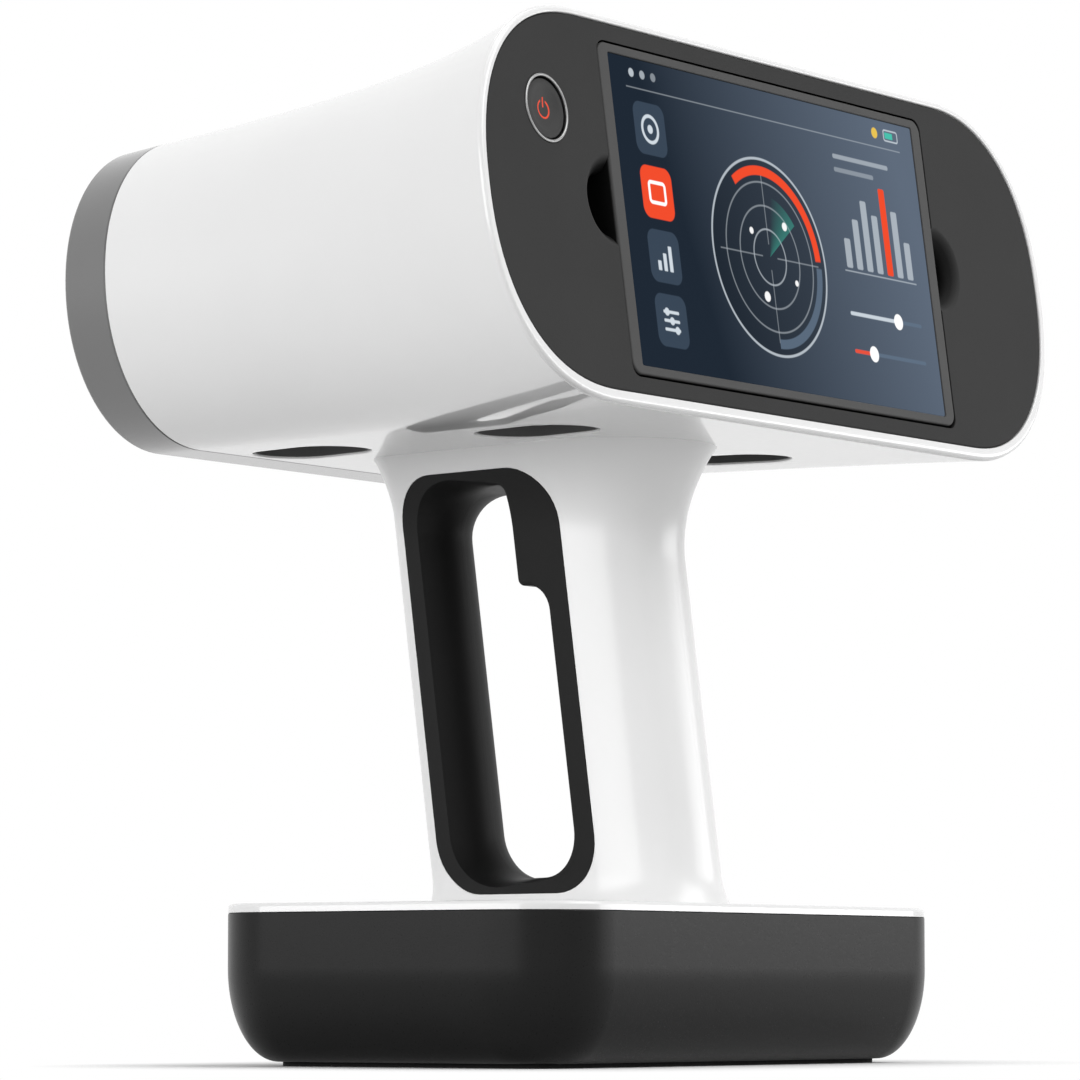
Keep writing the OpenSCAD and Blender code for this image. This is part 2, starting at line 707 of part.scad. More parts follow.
// Outline of palm and nose together, clockwise from above, with or without the flares
function grip_ring(z, out, flared) = [for (i = [0:grip_steps - 1])
    let (q = 360 * i / grip_steps, c = cos(q), s = -sin(q), r = grip_t / 2,
        reach = norm([palm_t / 2 * c, palm_d * s]),
        flare = out + (flared ? grip_flare(q, z) : 0),
        p = palm_y * s + reach > (nose_y - r) * s + r
            ? [pow(palm_t / 2, 2) * c / reach, palm_y + pow(palm_d, 2) * s / reach]
            : [r * c, nose_y - r + r * s])
    [p[0] + flare * c, leaned(p[1] + flare * s, z), z]];
function palm_ring(z, inset) = [for (i = [0:grip_steps - 1]) let (q = 360 * i / grip_steps)
    [(palm_t / 2 - inset) * cos(q), leaned(palm_y - (palm_d - inset) * sin(q), z), z]];
grip_levels = concat([for (k = [0:3]) plate_top + foot_flare_h * k / 3],
    [for (k = [0:7]) head_z - flare_rear_h * (1 - k / 7)]);

// Leaning outline with round corners in the grip's side view
function side_outline(y0, y1, z0, z1, r) = [for (k = [0:3], j = [0:corner_steps])
    let (a = 90 * k + 90 * j / corner_steps,
        cy = k == 0 || k == 3 ? y1 - r : y0 + r,
        cz = k < 2 ? z1 - r : z0 + r)
    [leaned(cy + r * cos(a), cz + r * sin(a)), cz + r * sin(a)]];
// Prism across the grip from a side-view outline
module across(outline, half) translate([-half, 0, 0]) rotate([90, 0, 90])
    linear_extrude(2 * half) polygon(outline);
liner_round = 5;
liner_r = hole_r + liner_round;
module liner_space(out) across(side_outline(liner_rear - out, liner_front + out,
    hole_z - liner_end - out, hole_top + liner_end + out, liner_r), palm_t);

screw_heights = [62, 100];
screw_back = 2;
grip_screw_y = palm_y - screw_back;
boss_d = 8;
screw_l = 17;
screw_tip = -8;

// Axis across the palm at height z, with the screw's head on the right
module across_palm(z) translate([0, leaned(grip_screw_y, z), z]) rotate([0, 90, 0]) children();

module grip_body() difference() {
    union() {
        difference() {
            solid_loft([for (z = grip_levels) grip_ring(z, 0, true)]);
            solid_loft([for (z = [plate_top - 1, head_z + 1]) palm_ring(z, grip_wall)]);
        }
        intersection() {
            for (z = screw_heights) across_palm(z) rod(boss_d, palm_t, [0, 0, -palm_t / 2]);
            solid_loft([for (z = [plate_top, head_z]) palm_ring(z, grip_wall / 2)]);
        }
    }
    liner_space(fit_gap);
    for (z = screw_heights) across_palm(z) {
        rod(screw_d + 2 * fit_gap, palm_t, [0, 0, screw_tip - fit_gap]);
        rod(screw_head_d + 2 * fit_gap, palm_t, [0, 0, screw_l + screw_tip]);
    }
    for (p = neck_places)
        rod(screw_d + 2 * fit_gap, neck_screw_l, [p[0], p[1], neck_top - neck_screw_l - fit_gap]);
}

module grip_half(side) color(white_gloss) intersection() {
    grip_body();
    box([palm_t, 4 * palm_t + face_back, head_z], [side * palm_t / 2, 0, plate_top]);
}

module grip_left() grip_half(-1);

module grip_right() grip_half(1);

module grip_screws() color(steel) for (z = screw_heights) across_palm(z) {
    rod(screw_d, screw_l, [0, 0, screw_tip]);
    rod(screw_head_d, screw_head_h, [0, 0, screw_l + screw_tip]);
}

// Trigger block at the hole's upper rear
trigger_z = hole_top - trigger_h;
trigger_fillet = 6;
trigger_proud = 0.6;
trigger_round = 1.6;
flange_t = 2;
flange_out = 1.6;
switch_arm = 2;
arm_gap = 3;
arm_x = trigger_w / 2 + arm_gap;
switch_front = liner_rear - slide_gap - flange_t - trigger_travel - slide_gap;
trigger_switch_t = 2;
trigger_switch_h = 12;
switch_low = trigger_z + trigger_h / 2 - trigger_switch_h / 2;
switch_high = switch_low + trigger_switch_h;
slot_cover = 0.6;
slot_top = hole_top + liner_end - slot_cover;
small_r = 0.6;

// Fixed block beside the trigger, with a fillet down to the rim
function block_outline() = concat(
    [[leaned(hole_rear - 1, hole_top + 1), hole_top + 1],
     [leaned(hole_rear - 1, trigger_z - trigger_fillet), trigger_z - trigger_fillet]],
    [for (j = [0:6]) let (a = 180 - 15 * j, y = hole_rear + trigger_fillet * (1 + cos(a)),
            z = trigger_z - trigger_fillet * (1 - sin(a))) [leaned(y, z), z]],
    [for (j = [0:4]) let (a = -90 + 22.5 * j, y = hole_rear + trigger_reach - trigger_round * (1 - cos(a)),
            z = trigger_z + trigger_round * (1 + sin(a))) [leaned(y, z), z]],
    [[leaned(hole_rear + trigger_reach, hole_top + 1), hole_top + 1]]);

module grip_liner() color(liner_black) difference() {
    union() {
        intersection() {
            difference() {
                liner_space(0);
                difference() {
                    across(side_outline(hole_rear, hole_front, hole_z, hole_top, hole_r), 2 * palm_t);
                    across(block_outline(), palm_t);
                }
            }
            solid_loft([for (z = [plate_top, head_z]) grip_ring(z, fit_gap, false)]);
        }
        for (x = [-1, 1]) translate([x * (arm_x + switch_arm / 2), 0, 0])
            across(side_outline(switch_front - trigger_switch_t, liner_rear + 1, switch_low, switch_high,
                small_r), switch_arm / 2);
    }
    across(side_outline(liner_rear - 1, hole_rear + trigger_reach + trigger_proud + slide_gap,
        trigger_z + trigger_round, slot_top, small_r), trigger_w / 2 + slide_gap);
}

module trigger() color(liner_black) {
    low = trigger_z + trigger_round + slide_gap;
    high = slot_top - slide_gap;
    across(side_outline(liner_rear - slide_gap - flange_t, hole_rear + trigger_reach + trigger_proud,
        low, high, trigger_round), trigger_w / 2);
    across(side_outline(liner_rear - slide_gap - flange_t, liner_rear - slide_gap,
        low - flange_out, high + flange_out, small_r), trigger_w / 2 + flange_out);
}

module trigger_switch() color(board_green)
    across(side_outline(switch_front - trigger_switch_t, switch_front, switch_low, switch_high, small_r),
        arm_x);

trigger_spring_d = 7;
trigger_spring_w = 1.2;
switch_mid = (switch_low + switch_high) / 2;

module trigger_spring() color(steel) translate([0, leaned(switch_front, switch_mid), switch_mid])
    rotate([-90 - grip_lean, 0, 0]) difference() {
        rod(trigger_spring_d, (trigger_travel + slide_gap) * cos(grip_lean), [0, 0, 0]);
        rod(trigger_spring_d - 2 * trigger_spring_w, 4 * trigger_travel, [0, 0, -trigger_travel]);
    }

// Base

// Rounded rectangle clockwise from above, drawn in by inset
function base_ring(z, inset) = [for (k = [0:3], j = [0:corner_steps])
    let (a = 90 - 90 * k - 90 * j / corner_steps,
        cx = (k < 2 ? 1 : -1) * (base_w / 2 - base_r),
        cy = (k == 0 || k == 3 ? 1 : -1) * (base_d / 2 - base_r))
    [cx + (base_r - inset) * cos(a), cy + (base_r - inset) * sin(a), z]];
// Rounded lower edge as a quarter ellipse from the foot up
function edge_rings(inset, low) = [for (j = [0:edge_steps]) let (a = 90 * j / edge_steps)
    base_ring(max(low, pad_t + edge_h * (1 - cos(a))), inset + edge_w * (1 - sin(a)))];
tub_floor_t = 3;
tub_floor = pad_t + tub_floor_t;
module tub_outer() solid_loft(concat(edge_rings(0, 0), [base_ring(tub_top, 0)]));
// Lower corner of the tub's inner wall: the quarter ellipse cut off at the floor
function inner_rings() = let (from = acos(1 - (tub_floor - pad_t) / edge_h))
    [for (j = [edge_steps:-1:0]) let (a = lerp(from, 90, j / edge_steps))
        base_ring(pad_t + edge_h * (1 - cos(a)), tub_wall + edge_w * (1 - sin(a)))];

rail_w = 6;
rail_h = 3.2;
rail_in = 8;
rail_l = 68;
root = 0.5;
drawer_wall = 1.2;
cell_count = 5;
cell_gap = 0.4;
cell_slack = 3.6;
// The cells fill the drawer's width, and set its height
cell_d = (drawer_w - 2 * drawer_wall - cell_slack) / cell_count - cell_gap;
lid_t = 1;
drawer_h = drawer_wall + cell_d + cell_head + lid_t;
drawer_z = tub_floor + rail_h + slide_gap;
drawer_top = drawer_z + drawer_h;
drawer_behind = 15;
drawer_back = drawer_behind - base_d / 2;
rail_x = drawer_w / 2 - rail_in;
front_plate_t = 9;
post_side = 6.6;
post_end = 21;
post_x = drawer_w / 2 + post_side;
post_y = base_d / 2 - post_end;
post_d = 9;
post_places = [for (x = [-1, 1], y = [-1, 1]) [x * post_x, y * post_y]];
boss_l = 8;
base_screw_l = 22;
base_head_z = tub_floor + 1;
catch_d = 4;
catch_y = 24;
catch_tip = 1;

module base_tub() color(tub_charcoal) difference() {
    union() {
        solid_loft(concat(edge_rings(0, 0), [base_ring(tub_top, 0), base_ring(tub_top, tub_wall)],
            inner_rings()));
        for (x = [-1, 1]) box([rail_w, rail_l, rail_h + root], [x * rail_x, 0, tub_floor - root]);
        for (p = post_places)
            rod(post_d, tub_top - boss_l - tub_floor + root, [p[0], p[1], tub_floor - root]);
    }
    box([drawer_w + 2 * slide_gap, base_d, drawer_h + 2 * slide_gap],
        [0, base_d - 3 * front_plate_t, drawer_z - slide_gap]);
    for (p = post_places) {
        rod(screw_d + 2 * fit_gap, tub_top, [p[0], p[1], 0]);
        rod(screw_head_d + 2 * fit_gap, base_head_z, [p[0], p[1], 0]);
    }
    for (x = [-1, 1]) rod(catch_d + 2 * fit_gap, rail_h + 1, [x * rail_x, catch_y, tub_floor]);
}

plate_edge = 1;
collar_wall = 1.8;
collar_h = 6;
harness_bore = 8;
harness_back = 10;
harness_y = liner_rear - harness_back;
collar_y = leaned(harness_y, plate_top + collar_h / 3);

module base_plate() color(white_gloss) difference() {
    union() {
        solid_loft([base_ring(tub_top, 0), base_ring(plate_top - plate_edge, 0),
            base_ring(plate_top - 0.3 * plate_edge, 0.3 * plate_edge), base_ring(plate_top, plate_edge)]);
        for (p = post_places) rod(post_d, boss_l + root, [p[0], p[1], tub_top - boss_l]);
        rod(harness_bore + 2 * collar_wall, collar_h + plate_t, [0, collar_y, tub_top]);
    }
    for (p = post_places) rod(screw_d + 2 * fit_gap, boss_l, [p[0], p[1], tub_top - boss_l - root]);
    rod(harness_bore, 4 * collar_h, [0, collar_y, tub_top - collar_h]);
}

module base_screws() color(steel) for (p = post_places) translate([p[0], p[1], 0]) {
    rod(screw_head_d, screw_head_h, [0, 0, base_head_z - screw_head_h]);
    rod(screw_d, base_screw_l, [0, 0, base_head_z]);
}

pad_in = 2;
pad_r = 6;
pad_hole_gap = 0.6;

module foot_pad() color(optic_black) difference() {
    round_plate(base_w - 2 * (edge_w + pad_in), base_d - 2 * (edge_w + pad_in), pad_t, pad_r);
    for (p = post_places) rod(screw_head_d + 2 * pad_hole_gap, 4 * pad_t, [p[0], p[1], -pad_t]);
}

cell_free = 7.6;
cell_back = 2;
cell_tip_d = 6;
cell_tip_l = 1.2;
pull_d = 18;
pull_w = 44;
pull_out = 5;
cell_z = drawer_z + drawer_wall;
cell_y = drawer_back + drawer_wall + cell_back;
tray_front_t = 1;
tray_l = base_d / 2 - front_plate_t - drawer_back - drawer_wall - tray_front_t;
cell_l = tray_l - cell_back - cell_tip_l - cell_free;

module battery_drawer() color(tub_charcoal) difference() {
    union() {
        intersection() {
            tub_outer();
            box([drawer_w, front_plate_t, drawer_h], [0, (base_d - front_plate_t) / 2, drawer_z]);
        }
        translate([-drawer_w / 2, drawer_back, drawer_z])
            cube([drawer_w, base_d / 2 - front_plate_t - drawer_back + 1, drawer_h - lid_t]);
    }
    translate([-drawer_w / 2 + drawer_wall, drawer_back + drawer_wall, cell_z])
        cube([drawer_w - 2 * drawer_wall, tray_l, drawer_h]);
    translate([-pull_w / 2, base_d / 2 + pull_out, drawer_z + drawer_h / 2]) rotate([0, 90, 0])
        rod(pull_d, pull_w, [0, 0, 0]);
}

module battery_cells() color(cell_blue) for (i = [0:cell_count - 1])
    translate([(i - (cell_count - 1) / 2) * (cell_d + cell_gap), cell_y, cell_z + cell_d / 2])
    rotate([-90, 0, 0]) {
        rod(cell_d, cell_l, [0, 0, 0]);
        rod(cell_tip_d, cell_tip_l, [0, 0, cell_l]);
    }

module battery_lid() color(optic_black) translate([-drawer_w / 2, drawer_back, drawer_top - lid_t])
    cube([drawer_w, base_d / 2 - front_plate_t - drawer_back, lid_t]);

terminal_pitch = 9;
terminal_w = 5;
terminal_t = 0.8;
terminal_h = 8;
terminal_count = 4;

module battery_terminals() color(brass) for (i = [0:terminal_count - 1])
    box([terminal_w, terminal_t, terminal_h], [(i - (terminal_count - 1) / 2) * terminal_pitch,
        drawer_back - terminal_t / 2, drawer_z + (drawer_h - terminal_h) / 2]);

contact_w = 44;
contact_t = 5;
contact_y = drawer_back - terminal_t - slide_gap - contact_t / 2;

module contact_block() color(optic_black) box([contact_w, contact_t, drawer_h], [0, contact_y, tub_floor]);

module drawer_catches() color(steel) for (x = [-1, 1]) translate([x * rail_x, catch_y, tub_floor]) {
    rod(catch_d, rail_h - catch_tip, [0, 0, 0]);
    translate([0, 0, rail_h - catch_tip])
        cylinder(h = catch_tip + slide_gap / 2, d1 = catch_d, d2 = catch_d / 2, $fn = round_fn);
}

// Wiring

harness_clear = 0.7;
harness_d = tub_top - drawer_top - 2 * harness_clear;
harness_in = 14;
harness_bend = 3;
harness_sides = 12;
bend_steps = 4;
harness_low = lerp(drawer_top, tub_top, 0.5);
harness_high = floor_z + harness_in;
contact_top = tub_floor + drawer_h;
turn_y = leaned(harness_y, harness_low + harness_bend * (1 - sin(grip_lean))) - harness_bend * cos(grip_lean);
// Route in the middle plane as [y, z, climb angle]: up from the contact block, forward, up the palm
harness_route = concat([[contact_y, contact_top, 90]],
    [for (k = [0:bend_steps]) let (a = lerp(180, 90, k / bend_steps))
        [contact_y + harness_bend * (1 + cos(a)), harness_low - harness_bend * (1 - sin(a)), a - 90]],
    [for (k = [0:bend_steps]) let (a = lerp(-90, -grip_lean, k / bend_steps))
        [turn_y + harness_bend * cos(a), harness_low + harness_bend * (1 + sin(a)), a + 90]],
    [[leaned(harness_y, harness_high), harness_high, 90 - grip_lean]]);

module wiring_harness() color(optic_black) solid_loft([for (p = harness_route)
    [for (i = [0:harness_sides - 1]) let (q = 360 * i / harness_sides, r = harness_d / 2)
        [r * cos(q), p[0] - r * sin(q) * sin(p[2]), p[1] + r * sin(q) * cos(p[2])]]]);

head_shell();
front_ring();
front_panel();
projector_window();
projector_hood();
camera_windows();
optical_bench();
projector_module();
camera_left();
camera_right();
flash_board();
flash_lamps();
vent_grilles();
fan_frame_left();
fan_frame_right();
fan_rotor_left();
fan_rotor_right();
neck_bracket();
neck_screws();
rear_bezel();
hinge_pins();
screen_frame();
display_glass();
display_module();
screen_board();
button_ring();
power_button();
button_spring();
button_switch();
main_board();
board_spacers();
processor();
heat_sink();
memory_drive();
antenna_board();
grip_left();
grip_right();
grip_screws();
grip_liner();
trigger();
trigger_spring();
trigger_switch();
wiring_harness();
base_plate();
base_tub();
base_screws();
foot_pad();
battery_drawer();
battery_cells();
battery_lid();
battery_terminals();
contact_block();
drawer_catches();
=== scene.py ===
"""Handheld three-d scanner: fine surfaces, finishes and a stage round the packed model."""

import math

import bmesh
import bpy
import numpy as np
from mathutils import Matrix, Vector


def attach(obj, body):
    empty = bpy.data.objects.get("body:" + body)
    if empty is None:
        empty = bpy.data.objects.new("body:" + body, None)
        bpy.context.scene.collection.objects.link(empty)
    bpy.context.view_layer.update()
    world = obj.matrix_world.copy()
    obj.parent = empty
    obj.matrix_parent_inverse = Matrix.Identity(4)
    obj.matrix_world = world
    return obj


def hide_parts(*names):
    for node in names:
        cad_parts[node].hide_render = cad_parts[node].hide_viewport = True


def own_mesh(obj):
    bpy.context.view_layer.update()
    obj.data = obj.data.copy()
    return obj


bl_info = {
    "name": "Handheld scanner",
    "version": (1, 0, 0),
    "blender": (4, 5, 0),
    "location": "View3D > Sidebar > Scanner",
    "description": "Dresses the packed scanner in fine surfaces and finishes",
    "category": "Object",
}

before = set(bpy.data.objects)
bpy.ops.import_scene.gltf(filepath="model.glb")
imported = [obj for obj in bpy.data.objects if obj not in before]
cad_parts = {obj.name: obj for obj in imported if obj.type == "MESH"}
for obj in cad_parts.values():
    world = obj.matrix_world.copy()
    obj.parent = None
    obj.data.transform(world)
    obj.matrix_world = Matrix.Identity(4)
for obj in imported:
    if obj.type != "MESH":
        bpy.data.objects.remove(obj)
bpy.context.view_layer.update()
MM = 0.001
# Seams between pieces, fine rounds, and the bores and heads of all screws
SEAM = 0.35 * MM
SMALL_EDGE = 0.35 * MM
SCREW_BORE = 3.2 * MM
SCREW_HEAD = 5.8 * MM


# Properties

def length(name, description, mm):
    """A size that is given in millimetres and kept in metres."""
    return bpy.props.FloatProperty(name=name, description=description, default=mm * MM, unit="LENGTH",
                                   precision=5)


def share(name, description, value):
    """A plain number."""
    return bpy.props.FloatProperty(name=name, description=description, default=value)


def angle(name, description, degrees):
    """An angle that is given in degrees."""
    return bpy.props.FloatProperty(name=name, description=description, default=math.radians(degrees),
                                   subtype="ANGLE")


def linear(code):
    """Scene colour of a six-digit screen colour."""
    parts = [int(code[k:k + 2], 16) / 255 for k in (0, 2, 4)]
    return tuple(c / 12.92 if c <= 0.04045 else ((c + 0.055) / 1.055) ** 2.4 for c in parts)


def colour(name, description, code):
    """A colour that is given as a six-digit screen colour."""
    return bpy.props.FloatVectorProperty(name=name, description=description, default=linear(code), size=3,
                                         subtype="COLOR", min=0, max=1)


class HeadSizes(bpy.types.PropertyGroup):
    """Sizes of the white head and the grey ring at its front."""
    face_w: length("Face width", "Width of the white rim round the rear face", 230)
    face_h: length("Face height", "Height of the rim, measured up the leaning face", 88.6)
    face_run: length("Face run", "Straight run along the rim's top and bottom", 145.6)
    face_power: share("Face squareness", "Squareness of the rim's rounded ends", 2.3)
    face_lean: angle("Face lean", "Lean of the face, top forward", 7.7)
    face_back: length("Face back", "Distance from the middle back to the foot of the face", 61.8)
    bezel_up: length("Bezel up", "Height of the bezel's middle above the rim's middle", 0.6)
    rim_side: length("Rim side", "Width of the white rim at the bezel's sides", 2.5)
    rim_end: length("Rim end", "Height of the white rim above and below the bezel", 2.6)
    rim_round: length("Rim round", "Round of the rim's outer edge", 0.8)
    under_z: length("Underside", "Height of the head's flat underside", 142.5)
    front_y: length("Front", "Distance from the middle forward to the foot of the front ring", 87.7)
    front_w: length("Front width", "Width of the front ring", 164.4)
    front_h: length("Front height", "Height of the front ring", 71.7)
    front_run: length("Front run", "Straight run along the front ring's top and bottom", 101.8)
    front_power: share("Front squareness", "Squareness of the front ring's ends", 2.05)
    front_lean: angle("Front lean", "Lean of the front ring, top forward", 2.7)
    taper_straight: share("Straight taper", "Share of the head's taper that is straight", 0.62)
    flare_power: share("Flare power", "How late the flare starts", 4)
    wall: length("Wall", "Wall of the head shell", 2.4)
    floor_t: length("Floor", "Thickness of the head's floor", 3.5)
    ring_w: length("Ring width", "Width of the grey front ring along the scan", 14.5)
    ring_wall: length("Ring wall", "Wall of the front ring at its mouth", 4)
    ring_round: length("Ring round", "Round of the front ring's outer edge", 1.2)
    vent_l: length("Vent length", "Length of the vents in the underside", 32)
    vent_w: length("Vent width", "Width of the vents", 20)
    vent_turn: angle("Vent turn", "Turn of the vents towards the front's middle", 10)


class FaceSizes(bpy.types.PropertyGroup):
    """Sizes of the bezel, the screen panel and the power button."""
    plate_t: length("Bezel thickness", "Thickness of the bezel plate", 2.6)
    drop: length("Bezel drop", "Depth of the bezel's front behind the rim", 0.3)
    side_strip: length("Side strip", "Strip of bezel beside the screen panel", 46)
    end_strip: length("End strip", "Strip of bezel above and below the screen panel", 4.35)
    well_depth: length("Well depth", "Depth of the well behind the screen panel", 10.55)
    panel_t: length("Panel thickness", "Thickness of the screen panel", 8.5)
    panel_r: length("Panel corner", "Corner radius of the screen panel", 3.2)
    panel_gap: length("Panel gap", "Gap under the screen panel", 0.6)
    fine_gap: length("Fine gap", "Gap at the screen panel's sides and top", 0.2)
    border_side: length("Side border", "Border of the panel at the display's sides", 4)
    border_end: length("End border", "Border of the panel above and below the display", 2.2)
    scoop_r: length("Scoop radius", "Radius of the finger scoops", 10.2)
    swing_r: length("Swing radius", "Radius about the hinge of the well's hollow upper wall", 4.55)
    hinge_down: length("Hinge place", "Distance of the hinge from the panel's top edge", 3.2)
    hinge_back: length("Hinge depth", "Depth of the hinge behind the panel's front", 2.9)
    button_d: length("Button", "Diameter of the power button", 13.4)
    button_in: length("Button place", "Distance of the button from the bezel's end", 24.1)
    button_up: length("Button height", "Height of the button above the face's middle", 18.8)
    ring_d: length("Button ring", "Diameter of the ring round the power button", 15.4)


class GripSizes(bpy.types.PropertyGroup):
    """Sizes of the grip, the finger hole's liner and the trigger."""
    lean: angle("Grip lean", "Lean of the grip, top forward", 7.7)
    palm_t: length("Palm width", "Thickness of the palm, side to side", 33)
    palm_d: length("Palm depth", "Half-depth of the palm's rounded back", 18)
    nose_t: length("Nose width", "Thickness of the grip's front edge, side to side", 20)
    nose_y: length("Nose", "Place of the grip's front edge along the scan", 49.5)
    palm_y: length("Palm", "Place of the palm's middle along the scan", -9.2)
    hole_rear: length("Hole rear", "Place of the finger hole's rear edge", -1.3)
    hole_w: length("Hole width", "Clear width of the finger hole at its middle", 33.85)
    hole_h: length("Hole height", "Clear height of the finger hole", 91)
    hole_r: length("Hole corner", "Corner radius of the finger hole", 11)
    hole_z: length("Hole foot", "Height of the finger hole's foot", 42.8)
    liner_side: length("Liner rear", "Width of the liner behind the hole", 6.4)
    liner_front: length("Liner front", "Width of the liner in front of the hole", 9.95)
    liner_end: length("Liner end", "Width of the liner above and below the hole", 3.6)
    liner_r: length("Liner corner", "Corner radius of the liner's outline", 13)
    liner_edge: length("Liner edge", "Round of the liner's inner edge at the rear", 1)
    liner_bow: share("Liner bow", "Share of the liner's front width that bows into the hole", 0.53)
    wall: length("Grip wall", "Wall of the grip shells", 3)
    flare_rear: length("Rear flare", "Flare of the palm under the head", 11)
    flare_front: length("Front flare", "Flare of the nose under the head", 2.2)
    flare_rear_h: length("Rear flare height", "Height of the palm's flare", 28)
    flare_front_h: length("Front flare height", "Height of the nose's flare", 13)
    foot_flare: length("Foot flare", "Flare of the grip's foot", 1.4)
    foot_flare_h: length("Foot flare height", "Height of the foot's flare", 7)
    trigger_reach: length("Trigger reach", "Reach of the trigger block into the hole", 8.8)
    trigger_h: length("Trigger height", "Height of the trigger block", 23.6)
    trigger_w: length("Trigger width", "Width of the moving trigger", 12)


class BaseSizes(bpy.types.PropertyGroup):
    """Sizes of the base and its battery drawer."""
    w: length("Base width", "Width of the base", 164)
    d: length("Base depth", "Depth of the base", 102)
    r: length("Base corner", "Corner radius of the base", 22)
    tub_top: length("Tub top", "Height of the charcoal tub's top", 34.3)
    plate_t: length("Plate", "Thickness of the white base plate", 2)
    plate_round: length("Plate round", "Round of the base plate's upper edge", 1)
    edge_h: length("Edge height", "Height of the tub's rounded lower edge", 21)
    edge_w: length("Edge width", "Width of the tub's rounded lower edge", 11.5)
    pad_t: length("Pad", "Thickness of the foot pad", 1)
    wall: length("Tub wall", "Wall of the tub", 2.6)
    floor_t: length("Tub floor", "Thickness of the tub's floor", 3)
    drawer_w: length("Drawer width", "Width of the battery drawer", 100)
    drawer_h: length("Drawer height", "Height of the battery drawer", 21.4)
    drawer_z: length("Drawer foot", "Height of the drawer's foot", 7.5)
    drawer_back: length("Drawer back", "Place of the drawer's back along the scan", -36)
    front_t: length("Drawer front", "Thickness of the drawer's front", 9)


class Finishes(bpy.types.PropertyGroup):
    """Colours of the finishes."""
    white: colour("White", "Gloss white of head, grip and base plate", "e8e8e8")
    ring: colour("Ring grey", "Satin grey of the front ring", "606060")
    bezel: colour("Bezel grey", "Matt grey of the bezel", "2e2e2e")
    panel: colour("Panel grey", "Grey of the screen panel's border", "464646")
    liner: colour("Liner black", "Soft black of the liner and the trigger", "141414")
    tub: colour("Charcoal", "Satin charcoal of the tub", "181818")
    screen_low: colour("Screen low", "Navy of the display's left side", "1b2531")
    screen_high: colour("Screen high", "Navy of the display's right side", "5a6676")
    accent: colour("Accent", "Orange red of the display's and the button's marks", "e8492a")
    mark: colour("Mark", "Pale grey of the display's marks", "c9d2da")


GROUPS = {"scanner_head": HeadSizes, "scanner_face": FaceSizes, "scanner_grip": GripSizes,
          "scanner_base": BaseSizes, "scanner_finish": Finishes}


def settings(name):
    """One of the scene's groups of sizes or colours."""
    return getattr(bpy.context.scene, name)


# Outlines

def once_round(steps):
    """Angles once round, without the last, which is the first again."""
    return np.linspace(0, 2 * math.pi, steps, endpoint=False)


def end_and_run_steps(end_steps, run_steps):
    """Steps round an outline of two ends and two runs: place along the run, cosine and sine on the end."""
    q = np.linspace(-math.pi / 2, math.pi / 2, end_steps + 1)
    run = np.linspace(1, -1, run_steps + 1)[1:-1]
    flat = np.zeros_like(run)
    a = np.concatenate([np.ones_like(q), run, -np.ones_like(q), -run])
    c = np.concatenate([np.cos(q), flat, -np.cos(q), flat])
    s = np.concatenate([np.sin(q), flat + 1, -np.sin(q), flat - 1])
    c[np.abs(c) < 1e-9] = 0
    return a, c, s


ROUND = end_and_run_steps(56, 26)


def stadium(half_w, half_h, half_run, power):
    """Outline with straight runs and superelliptic ends: on an end, x is the run plus the rest of the
    half-width times |cos|^(2/power), and y the half-height times |sin|^(2/power) with its sign."""
    a, c, s = ROUND
    x = a * half_run + np.sign(c) * (half_w - half_run) * np.abs(c) ** (2 / power)
    y = half_h * np.sign(s) * np.abs(s) ** (2 / power)
    return x, y


def rounded_rectangle(w, d, r, corner_steps=10, side_steps=8):
    """Outline of a rectangle with quarter-circle corners, anticlockwise: x and y arrays and the normals."""
    r = max(r, 1e-6)
    corners = ((1, 1), (-1, 1), (-1, -1), (1, -1))
    xs, ys, nx, ny = [], [], [], []
    for k, (sx, sy) in enumerate(corners):
        q = math.pi / 2 * k + np.linspace(0, math.pi / 2, corner_steps + 1)
        xs.append(sx * (w / 2 - r) + r * np.cos(q))
        ys.append(sy * (d / 2 - r) + r * np.sin(q))
        nx.append(np.cos(q))
        ny.append(np.sin(q))
        tx, ty = corners[(k + 1) % 4]
        end = math.pi / 2 * (k + 1)
        t = np.linspace(0, 1, side_steps + 1)[1:-1]
        x0, y0 = sx * (w / 2 - r) + r * math.cos(end), sy * (d / 2 - r) + r * math.sin(end)
        x1, y1 = tx * (w / 2 - r) + r * math.cos(end), ty * (d / 2 - r) + r * math.sin(end)
        xs.append(x0 + (x1 - x0) * t)
        ys.append(y0 + (y1 - y0) * t)
        nx.append(np.full_like(t, math.cos(end)))
        ny.append(np.full_like(t, math.sin(end)))
    return tuple(np.concatenate(v) for v in (xs, ys, nx, ny))


def plain_rectangle(x, y, w, d):
    """Outline of a rectangle with sharp corners about a point."""
    return x + np.array([-w, w, w, -w]) / 2, y + np.array([-d, -d, d, d]) / 2


def quarter(radius, steps=6):
    """Quarter round from a wall onto a face: how far it draws in, and how far it stays below the face."""
    q = np.linspace(0, math.pi / 2, steps + 1)
    return radius * (1 - np.cos(q)), radius * (1 - np.sin(q))


# Meshes

def grid_faces(rows, cols, wrap_rows):
    """Quads of a grid whose columns close on themselves, and whose rows may."""
    r, c = np.meshgrid(np.arange(rows if wrap_rows else rows - 1), np.arange(cols), indexing="ij")
    r2, c2 = (r + 1) % rows, (c + 1) % cols
    return np.stack([r * cols + c, r * cols + c2, r2 * cols + c2, r2 * cols + c], -1).reshape(-1, 4)


